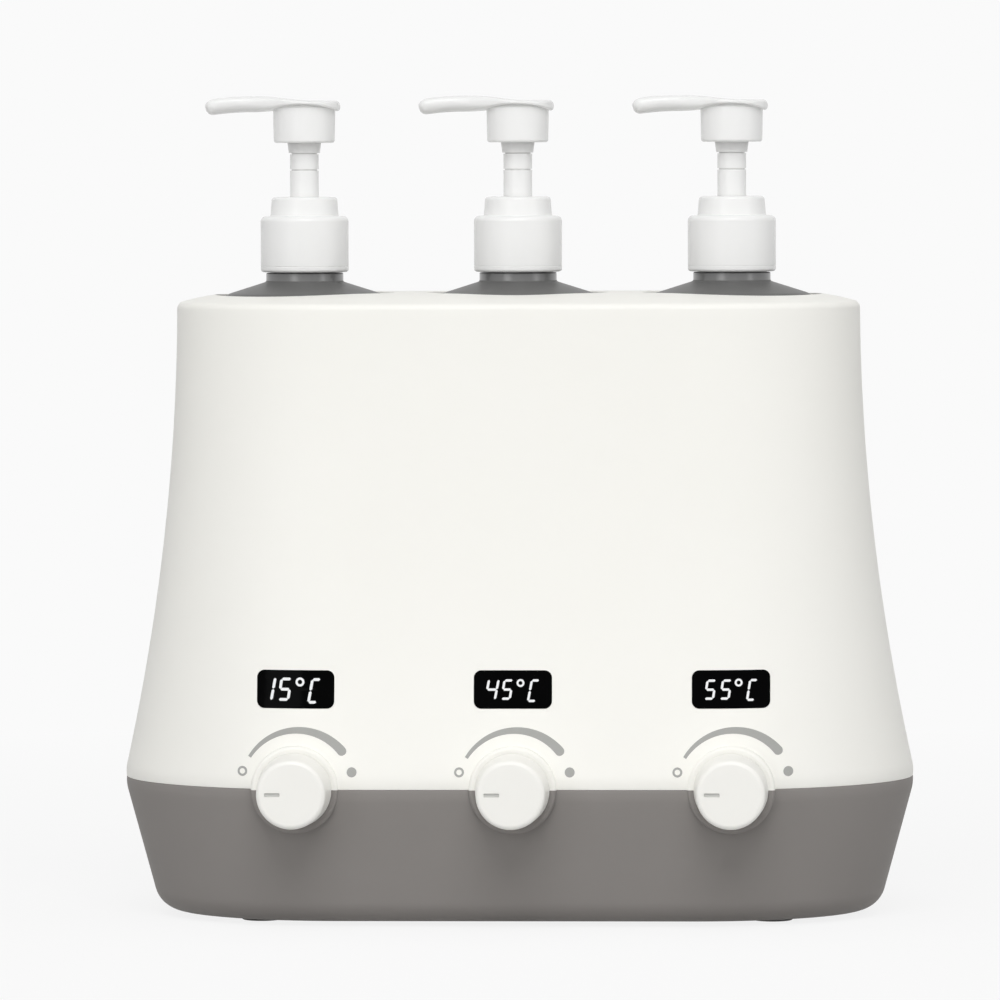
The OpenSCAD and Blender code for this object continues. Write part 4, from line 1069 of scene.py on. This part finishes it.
# Each display's figures as (figure, x, z, width, height, slant) from the window's middle, its degree ring as
# (x, z, outer radius, inner radius), and the width of its strokes
READINGS = (
    (
        (
            ("1", -12.15, -3.9, 3.4, 7.9, 0.18),
            ("5", -6.05, -3.6, 3.4, 7.2, 0.145),
            ("C", 4.7, -4.5, 2.85, 8.0, 0.175),
        ),
        (1.6, 2.6, 1.6, 0.8),
        1.0,
    ),
    (
        (
            ("4", -9.8, -3.45, 3.4, 6.9, 0.19),
            ("5", -4.0, -3.2, 2.9, 6.4, 0.16),
            ("C", 5.4, -4.0, 2.6, 7.2, 0.185),
        ),
        (2.7, 2.3, 1.4, 0.7),
        0.85,
    ),
    (
        (
            ("5", -9.3, -3.2, 2.9, 6.3, 0.155),
            ("5", -3.8, -3.2, 2.9, 6.3, 0.155),
            ("C", 5.7, -3.75, 2.5, 6.9, 0.16),
        ),
        (2.7, 2.35, 1.4, 0.7),
        0.85,
    ),
)


def make_display(i):
    """Smoked pane with a rounded edge, and the lit reading on its face."""
    edge = 0.25
    profile = [(inset, PANE_T) for inset in INSETS] + [(0, edge)]
    profile += [(edge - edge * cos(t), edge - edge * sin(t)) for t in (22.5, 45, 67.5, 90)]
    profile += [(inset, 0) for inset in (0.8, 1.6, 2.4, 3.4, 4.4, 5.4, 6.1, 6.5)]
    pane = conforming_plate(i, WINDOW_W, WINDOW_H, WINDOW_ROUND, profile)
    put(pane, f"{STATIONS[i]}_pane", "warmer", "window", [f"{STATIONS[i]}_window"], sharp=40.0)
    figures, degree_ring, stroke = READINGS[i]
    loops = [ring_loop(*degree_ring)]
    for figure in figures:
        loops += segment_loops(*figure, stroke)
    lit = on_wall(i, loops, WINDOW_Z, FIGURE_PROUD, PRINT_DEEP)
    put(lit, f"{STATIONS[i]}_lit_reading", "warmer", "display", finish=FIGURES)


def make_dial_marks(i):
    """Printed scale round dial i: a hollow dot, an arc that grows thicker with a round end, and a filled dot."""
    cx, cz, radius = 1.0, 0.3, 20.6
    start, end, steps = 147.8, 40.5, 48
    thin, thick = 0.6, 1.65
    dot_r, dot_hole_r, dot_z = 1.76, 0.98, 6.25
    strokes = [(start + (end - start) * k / steps, thin + (thick - thin) * k / steps) for k in range(steps + 1)]
    for k in range(1, 9):
        t = 90 * k / 8
        strokes.append((end - math.degrees(thick * sin(t) / radius), thick * cos(t) + 0.02))
    outer, inner = [[(cx + (radius + side * half) * cos(angle), cz + (radius + side * half) * sin(angle))
                     for angle, half in strokes] for side in (1, -1)]
    loops = [(outer, inner, False)]
    loops += [ring_loop(-19.0, dot_z, dot_r, dot_hole_r), ring_loop(20.3, dot_z, dot_r, 0.02)]
    marks = on_wall(i, loops, SEAM_Z, INK_PROUD, PRINT_DEEP)
    put(marks, f"{STATIONS[i]}_dial_print", "warmer", finish=INK)


def pointer_bar(levels, corner, place):
    """Solid in the outline of the pointer's line; levels holds (inset, height)."""
    x0 = POINTER_FROM + POINTER_L / 2
    return loft([[(x - x0, y, z) for x, y in rounded(POINTER_L - 2 * d, POINTER_W - 2 * d, corner - d)]
                 for d, z in levels], place)


def make_knob(i):
    """Tapered cap with a rounded face edge, ribs and a shaft's hub inside, and a pointer groove whose floor
    carries painted shade.
    """
    place = facing(i, boss_y(i) + KNOB_GAP)
    edge, hub_r, floor_z = 0.3, SHAFT_R + 2, KNOB_L - KNOB_WALL
    profile = [(0, edge), *arc(KNOB_R - edge, edge, edge, -90, 0, 4)]
    profile += arc(KNOB_FRONT_R - KNOB_ROUND, KNOB_L - KNOB_ROUND, KNOB_ROUND, 0, 90, 12) + [(0, KNOB_L)]
    shell = turned(profile, place, 160)
    inside_r = KNOB_FRONT_R - KNOB_WALL
    cut(shell, turned([(0, -PASS), (KNOB_R - KNOB_WALL, -PASS), (inside_r, floor_z), (0, floor_z)], place))
    fuse(shell, rod(hub_r, 2, floor_z + FUSE, place, 64))
    for a in range(0, 360, 60):
        fuse(shell, block((hub_r - FUSE, -0.6, 5), (inside_r + FUSE, 0.6, floor_z + FUSE),
                          place @ Matrix.Rotation(math.radians(a), 4, "Z")))
    bore = rod(SHAFT_R + SEAT, -PASS, floor_z - 1, place, 64)
    cut(bore, block((-5, SHAFT_R - 1.5 + SEAT, 1), (5, 5, 30), place))
    groove_z = KNOB_L - POINTER_D
    groove = ((0.2, groove_z), (0.06, groove_z + 0.06), (0.0, groove_z + 0.2), (0.0, KNOB_L + PASS))
    cut(shell, bore, pointer_bar(groove, 0.35, place))
    put(shell, f"{STATIONS[i]}_dial_cap", f"{STATIONS[i]}_dial", "knob", [f"{STATIONS[i]}_knob"], sharp=30.0)
    # Grey strip on the groove's floor: painted shade that stands in for the groove's shadow.
    fill = pointer_bar(((0.1, groove_z - 0.2), (0.1, groove_z + 0.15)), 0.4, place)
    put(fill, f"{STATIONS[i]}_pointer_painted_shade", f"{STATIONS[i]}_dial", finish=POINTER_SHADE)


# ---------------------------------------------------------------- bottles and pumps


def thread(root, crest, z_start):
    """Screw ridge from the root radius to the crest radius, thinned out at both ends."""
    steps = round(THREAD_TURNS * 64)
    rings = []
    for i in range(steps + 1):
        t = 360 * THREAD_TURNS * i / steps
        z = z_start + THREAD_PITCH * t / 360
        top = root + (crest - root) * (0.45 + 0.55 * min(1, i / 8, (steps - i) / 8))
        bulge = top + (top - root) * 0.06
        section = ((root, z - 1), (top, z - 0.45), (bulge, z), (top, z + 0.45), (root, z + 1))
        rings.append([(r * cos(t), r * sin(t), h) for r, h in section])
    return loft(rings)


THREAD_Z = FINISH_Z + 8


def make_bottle():
    """Thin-walled bottle with a hollow foot, a cone shoulder and a threaded neck."""
    w, lean = BOTTLE_WALL, 90 - SEEN_SLOPE
    corner_z = NECK_Z - (BOTTLE_R - NECK_R) * tan(SEEN_SLOPE)
    drop = SHOULDER_ROUND * tan(lean / 2)
    outer = [(0, SEAT_Z + PUNT_H), (BOTTLE_R - 9, SEAT_Z + PUNT_H), (BOTTLE_R - 7, SEAT_Z)]
    outer += arc(BOTTLE_R - BOTTLE_FOOT_ROUND, SEAT_Z + BOTTLE_FOOT_ROUND, BOTTLE_FOOT_ROUND, -90, 0)
    outer += arc(BOTTLE_R - SHOULDER_ROUND, corner_z - drop, SHOULDER_ROUND, 0, lean, 10)
    fillet = 0.8
    outer += [(NECK_R + 1.2 * fillet, NECK_Z - 1.2 * fillet * tan(SEEN_SLOPE)),
              (NECK_R + 0.35 * fillet, NECK_Z - 0.05), (NECK_R, NECK_Z + 0.5 * fillet)]
    outer += arc(NECK_R - 0.4, FINISH_Z - 0.4, 0.4, 0, 90, 4) + [(FINISH_R, FINISH_Z)]
    outer += arc(FINISH_R - 0.4, SEAL_Z - 0.4, 0.4, 0, 90, 4)
    inner = [(MOUTH_R, SEAL_Z), (MOUTH_R, FINISH_Z), (NECK_R - 1.6, NECK_Z - w)]
    inner += arc(BOTTLE_R - SHOULDER_ROUND, corner_z - drop, SHOULDER_ROUND - w, lean, 0)
    inner += arc(BOTTLE_R - BOTTLE_FOOT_ROUND, SEAT_Z + BOTTLE_FOOT_ROUND, BOTTLE_FOOT_ROUND - w, 0, -90, 5)
    inner += [(BOTTLE_R - 7.4, SEAT_Z + w), (BOTTLE_R - 9.4, SEAT_Z + PUNT_H + w), (0, SEAT_Z + PUNT_H + w)]
    body = turned(outer + inner, steps=160)
    fuse(body, thread(FINISH_R - FUSE, FINISH_R + THREAD_CREST, THREAD_Z))
    put_at_stations(body, "oil_bottle", "flask", "bottle", "bottle")


def make_closure():
    """Screw cap with a fine groove over its lower edge and an upper ring."""
    bore, edge, upper, foot = FINISH_R + 1.5, 2.0, 1.4, COLLAR_R - COLLAR_FOOT_R
    line_z, line, fillet = COLLAR_Z + 2.1, 0.14, 0.35
    ring_bore, stem_bore, roof_z = COLLAR_RING_TOP_R - 1.2, STEM_R + 0.4, COLLAR_TOP_Z - COLLAR_TOP_T
    outer = [(bore, COLLAR_Z), *arc(COLLAR_FOOT_R, COLLAR_Z + foot, foot, -90, 0)]
    outer += [(COLLAR_R, line_z - line), (COLLAR_R - line, line_z), (COLLAR_R, line_z + line)]
    outer += arc(COLLAR_R - edge, SHOULDER_Z - edge, edge, 0, 90, 10)
    outer += [(COLLAR_RING_R + fillet, SHOULDER_Z), (COLLAR_RING_R + 0.1, SHOULDER_Z + 0.1),
              (COLLAR_RING_R, SHOULDER_Z + fillet)]
    outer += arc(COLLAR_RING_TOP_R - upper, COLLAR_TOP_Z - upper, upper, 8, 90)
    outer += [(stem_bore + 0.2, COLLAR_TOP_Z), (stem_bore, COLLAR_TOP_Z - 0.2)]
    flange_z = FLANGE_TOP_Z + SEAT
    inner = [(stem_bore, roof_z), (ring_bore, roof_z), (ring_bore, flange_z), (bore, flange_z)]
    cap = turned(outer + inner, steps=160)
    fuse(cap, thread(bore + FUSE, FINISH_R + 0.45, THREAD_Z - 1.55))
    put_at_stations(cap, "screw_cap", "cap", "pump_white", "closure")


def make_stem():
    """Hollow rod with a wider foot, a turned line round it, and ports over the piston."""
    line_z, port_z = HUB_Z - 5.7, PISTON_FOOT_Z + 0.8
    line_r, foot_r, foot_top_z, bore_z = STEM_R - 0.6, ROD_R + 1.2, ROD_FOOT_Z + 2, port_z - PORT_R
    profile = [(0, bore_z), (0, ROD_FOOT_Z), (foot_r, ROD_FOOT_Z), (foot_r, foot_top_z), (ROD_R, foot_top_z)]
    profile += [(ROD_R, GUIDE_FOOT_Z), (STEM_R, GUIDE_FOOT_Z), (STEM_R, line_z - 0.25)]
    profile += [(line_r, line_z - 0.2), (line_r, line_z + 0.2), (STEM_R, line_z + 0.25), (STEM_R, HUB_Z)]
    profile += [(STEM_NECK_R, HUB_Z), (STEM_NECK_R, STEM_TOP_Z), (STEM_BORE_R, STEM_TOP_Z), (STEM_BORE_R, bore_z)]
    stem = turned(profile)
    cut(stem, rod(PORT_R, -10, 10, shift(0, 0, port_z) @ Matrix.Rotation(math.radians(90), 4, "X"), 32))
    put_at_stations(stem, "pump_stem", "top", "pump_white", "stem")


def back_z(x):
    """Height of the head's back, which rises from the pad to a crest and falls to the spout's tip."""
    start, crest = 3.5, -0.45 * SPOUT_REACH
    if x > start:
        return PAD_TOP_Z
    if x > crest:
        return PAD_TOP_Z + SPOUT_RISE * (1 - cos(180 * (start - x) / (start - crest))) / 2
    return PAD_TOP_Z + SPOUT_RISE - SPOUT_FALL * ((crest - x) / (SPOUT_REACH + crest)) ** 3


def under_z(x):
    """Height of the head's underside: arched under the pad, then along the spout."""
    crest, top = -0.53 * SPOUT_REACH, PAD_EDGE_Z - 0.45
    if x > -SKIRT_R:
        return PAD_EDGE_Z + PAD_ARCH * (1 - (x / SKIRT_R) ** 2)
    if x > crest:
        return top + 0.45 * ((x - crest) / (-SKIRT_R - crest)) ** 2
    return top - 1.4 * ((crest - x) / (SPOUT_REACH + crest)) ** 2


def half_wide(x):
    """Half the width from above: the spout, a flare, and the pad's circle."""
    start, end = -22.0, -7.0
    if x > end:
        return math.sqrt(max(0.0, PAD_R**2 - x**2))
    taper = (SPOUT_ROOT_W - SPOUT_TIP_W) / (SPOUT_REACH - SKIRT_R)
    if x < start:
        return SPOUT_TIP_W + taper * (x + SPOUT_REACH)
    t, run = (x - start) / (end - start), end - start
    low, high = SPOUT_TIP_W + taper * (start + SPOUT_REACH), math.sqrt(PAD_R**2 - end**2)
    return (
        (2 * t**3 - 3 * t**2 + 1) * low + (t**3 - 2 * t**2 + t) * run * taper
        + (3 * t**2 - 2 * t**3) * high + (t**3 - t**2) * run * -end / high
    )


def end_share(x):
    """Share of the full section that the rounded ends leave at x."""
    nose, heel = 3.2, 1.7
    if x < nose - SPOUT_REACH:
        return math.sqrt(max(0.02, 1 - ((nose - SPOUT_REACH - x) / nose) ** 2))
    if x > PAD_R - heel:
        return math.sqrt(max(0.02, 1 - ((x - PAD_R + heel) / heel) ** 2))
    return 1.0


def head_stations():
    """Places along the head, close together at both ends."""
    nose = 0.16
    xs = [-SPOUT_REACH + nose * (1 - cos(k * 15)) for k in range(1, 7)]
    xs += [-SPOUT_REACH + nose + (SPOUT_REACH - PAD_R - nose) * k / 40 for k in range(1, 40)]
    return xs + [PAD_R * cos(180 - 3.4 * k) for k in range(52)] + [PAD_R * cos(1.2)]


def head_section(x, sides=56):
    """Section across the head at x: ridged and egg-shaped along the spout, flat and full under the thumb."""
    w = half_wide(x) * (end_share(x) ** 0.8 if x < 0 else 1)
    t = min(1, max(0, (x + 24) / 22))
    blend = t * t * (3 - 2 * t)
    ridge = SPOUT_RIDGE + (0.5 - SPOUT_RIDGE) * blend
    middle = under_z(x) + ridge * (back_z(x) - under_z(x))
    up, down = (back_z(x) - middle) * end_share(x), (middle - under_z(x)) * end_share(x)
    section = []
    for k in range(sides):
        c, s = cos(360 * (k + 0.5) / sides), sin(360 * (k + 0.5) / sides)
        n, half = (2.6 + 1.4 * blend, up) if s > 0 else (1.9 + 2.1 * blend, -down)
        section.append((x, w * math.copysign(abs(c) ** (2 / n), c), middle + half * abs(s) ** (2 / n)))
    return section


def channel(a, b, r):
    """Round bore between two points of the plane through the spout, given as (x, z)."""
    dx, dz = b[0] - a[0], b[1] - a[1]
    turn = Matrix.Rotation(math.atan2(dx, dz), 4, "Y")
    return rod(r, -0.3, math.hypot(dx, dz) + 0.3, shift(a[0], 0, a[1]) @ turn, 40)


def make_pump_head():
    """Thumb pad and drooping spout in one sweep, over a hollow skirt with a hub for the stem."""
    head = loft([head_section(x) for x in head_stations()])
    roof_z = PAD_EDGE_Z + PAD_ARCH + 0.6
    skirt = [(0, roof_z), (0, HEAD_Z)] + arc(SKIRT_R - 1.2, HEAD_Z + 1, 1, -90, 0, 8)
    skirt += [(SKIRT_R, PAD_EDGE_Z + PAD_ARCH * 0.5), (SKIRT_R - 1.2, roof_z)]
    skirt = turned(skirt, steps=128)
    cut(skirt, rod(SKIRT_R - SKIRT_T, HEAD_Z - PASS, PAD_EDGE_Z - SKIRT_T, None, 128))
    line_r, line_z = STEM_R - 0.6, HUB_Z + 0.4
    hub = [(0, HUB_Z), (line_r, HUB_Z), (line_r, line_z), (HUB_FOOT_R - 0.1, line_z), (HUB_FOOT_R, line_z + 0.1)]
    hub += [(HUB_R, HEAD_Z), (HUB_R, PAD_EDGE_Z), (0, PAD_EDGE_Z)]
    fuse(head, skirt, turned(hub, steps=128))
    bore_z = PAD_TOP_Z - 2.1
    middle, tip = (-0.56 * SPOUT_REACH, bore_z + 1), (-SPOUT_REACH - PASS, bore_z - 0.6)
    cut(head, rod(STEM_NECK_R + SEAT, HUB_Z - PASS, STEM_TOP_Z + SEAT), rod(STEM_BORE_R, HEAD_Z, bore_z + 0.4),
        channel((0, bore_z), middle, SPOUT_BORE_R), channel(middle, tip, SPOUT_BORE_R))
    put_at_stations(head, "pump_top", "top", "pump_white", "pump_head")


def make_spring():
    """Return spring of round wire with closed end turns, that the stem's foot presses together."""
    low, high = STEP_Z + WIRE_R + SEAT, ROD_FOOT_Z - WIRE_R - SEAT
    closed, per_turn, sides = 2 * WIRE_R + 0.5, 32, 14
    rings = []
    for i in range(SPRING_TURNS * per_turn + 1):
        u = i / per_turn
        if u < 1:
            z = closed * u
        elif u > SPRING_TURNS - 1:
            z = high - low - closed * (SPRING_TURNS - u)
        else:
            z = closed + (high - low - 2 * closed) * (u - 1) / (SPRING_TURNS - 2)
        c, s = cos(360 * u), sin(360 * u)
        wire = arc(SPRING_R, low + z, WIRE_R, 0, 360 - 360 / sides, sides - 1)
        rings.append([(r * c, r * s, height) for r, height in wire])
    length = ROD_FOOT_Z - STEP_Z
    for i, station, copy in copies(loft(rings)):
        put(copy, f"{station}_return_spring", f"{station}_plunger", "spring_steel", [f"{station}_spring"],
            station_x(i))
        station_x(i) * MM
        ROW_Y * MM
        (ROD_FOOT_Z + FOOT_H) * MM
        (length - STROKE) / length
        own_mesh(copy)


def make_cup():
    """Warming cup drawn from sheet, with a rounded rim and bottom edge."""
    r, sheet = 3.0, CUP_OUT_R - CUP_IN_R
    profile = [(0, CUP_BASE_Z)] + arc(CUP_OUT_R - r, CUP_BASE_Z + r, r, -90, 0)
    profile += arc(CUP_IN_R + sheet / 2, CUP_TOP_Z - sheet / 2, sheet / 2, 0, 180)
    profile += arc(CUP_OUT_R - r, CUP_BASE_Z + r, r - sheet, 0, -90) + [(0, SEAT_Z)]
    put_at_stations(turned(profile, steps=160), "cup_liner", "warmer", "cup_metal", "cup")


make_housing()
make_pan()
make_inlet()
make_feet()
for index in range(3):
    make_display(index)
    make_dial_marks(index)
    make_knob(index)
make_bottle()
make_closure()
make_stem()
make_pump_head()
make_spring()
make_cup()

# The CAD nodes that keep their own shape take the finish of their slot
NODE_SLOTS = {part["node"]: part["material_slot"] for part in frame["record"]["subparts"]}
for node_name, node in frame["nodes"].items():
    if not node.hide_render:
        node.data.materials.clear()
        node.data.materials.append(FINISHES[NODE_SLOTS[node_name]])


# ---------------------------------------------------------------- floor and backdrop

BACKDROP = linear(250, 250, 250)


def seen_directly(finish):
    """1 for rays of the camera, of reflections and through glass, which all see the white backdrop."""
    camera = finish.add("LightPath", output="Is Camera Ray")
    glossy = finish.add("LightPath", output="Is Glossy Ray")
    through = finish.add("LightPath", output="Is Transmission Ray")
    return (camera + glossy + through) > 0.5


def make_world():
    """Even grey light on the object from all sides, in front of a white backdrop."""
    world = bpy.data.worlds.new("studio")
    bpy.context.scene.world = world
    f = Finish("studio", world)
    ambient = f.add("Background", None, {"Color": (1.0, 1.0, 1.0, 1.0), "Strength": 0.455}, "Background")
    white = f.add("Background", None, {"Color": BACKDROP, "Strength": 1.0}, "Background")
    both = f.add("MixShader", None, {0: seen_directly(f), 1: ambient, 2: white}, "Shader")
    f.add("OutputWorld", None, {"Surface": both})


def make_floor():
    """Pale floor that keeps a faint shadow of the object and otherwise meets the backdrop without a line."""
    f = Finish("studio_floor")
    plain = f.add("BsdfDiffuse", None, {"Color": (0.65, 0.65, 0.65, 1.0)}, "BSDF")
    faint = f.add("BsdfDiffuse", None, {"Color": (0.12, 0.12, 0.12, 1.0)}, "BSDF")
    glow = f.add("Emission", None, {"Color": (1.0, 1.0, 1.0, 1.0), "Strength": 0.845}, "Emission")
    near = f.add("AddShader", None, {0: faint, 1: glow}, "Shader")
    far = f.add("Emission", None, {"Color": BACKDROP, "Strength": 1.0}, "Emission")
    away = f.add("VectorMath", {"operation": "LENGTH"}, {0: f.place()}, "Value")
    lit = f.add("MixShader", None, {0: away * 1.6 - 0.4, 1: near, 2: far}, "Shader")
    f.done(f.add("MixShader", None, {0: seen_directly(f), 1: plain, 2: lit}, "Shader"))
    work = bmesh.new()
    bmesh.ops.create_grid(work, x_segments=12, y_segments=12, size=3.0)
    mesh = bpy.data.meshes.new("floor")
    work.to_mesh(mesh)
    work.free()
    mesh.materials.append(f.owner)
    floor = bpy.data.objects.new("floor", mesh)
    bpy.context.scene.collection.objects.link(floor)


make_world()
make_floor()
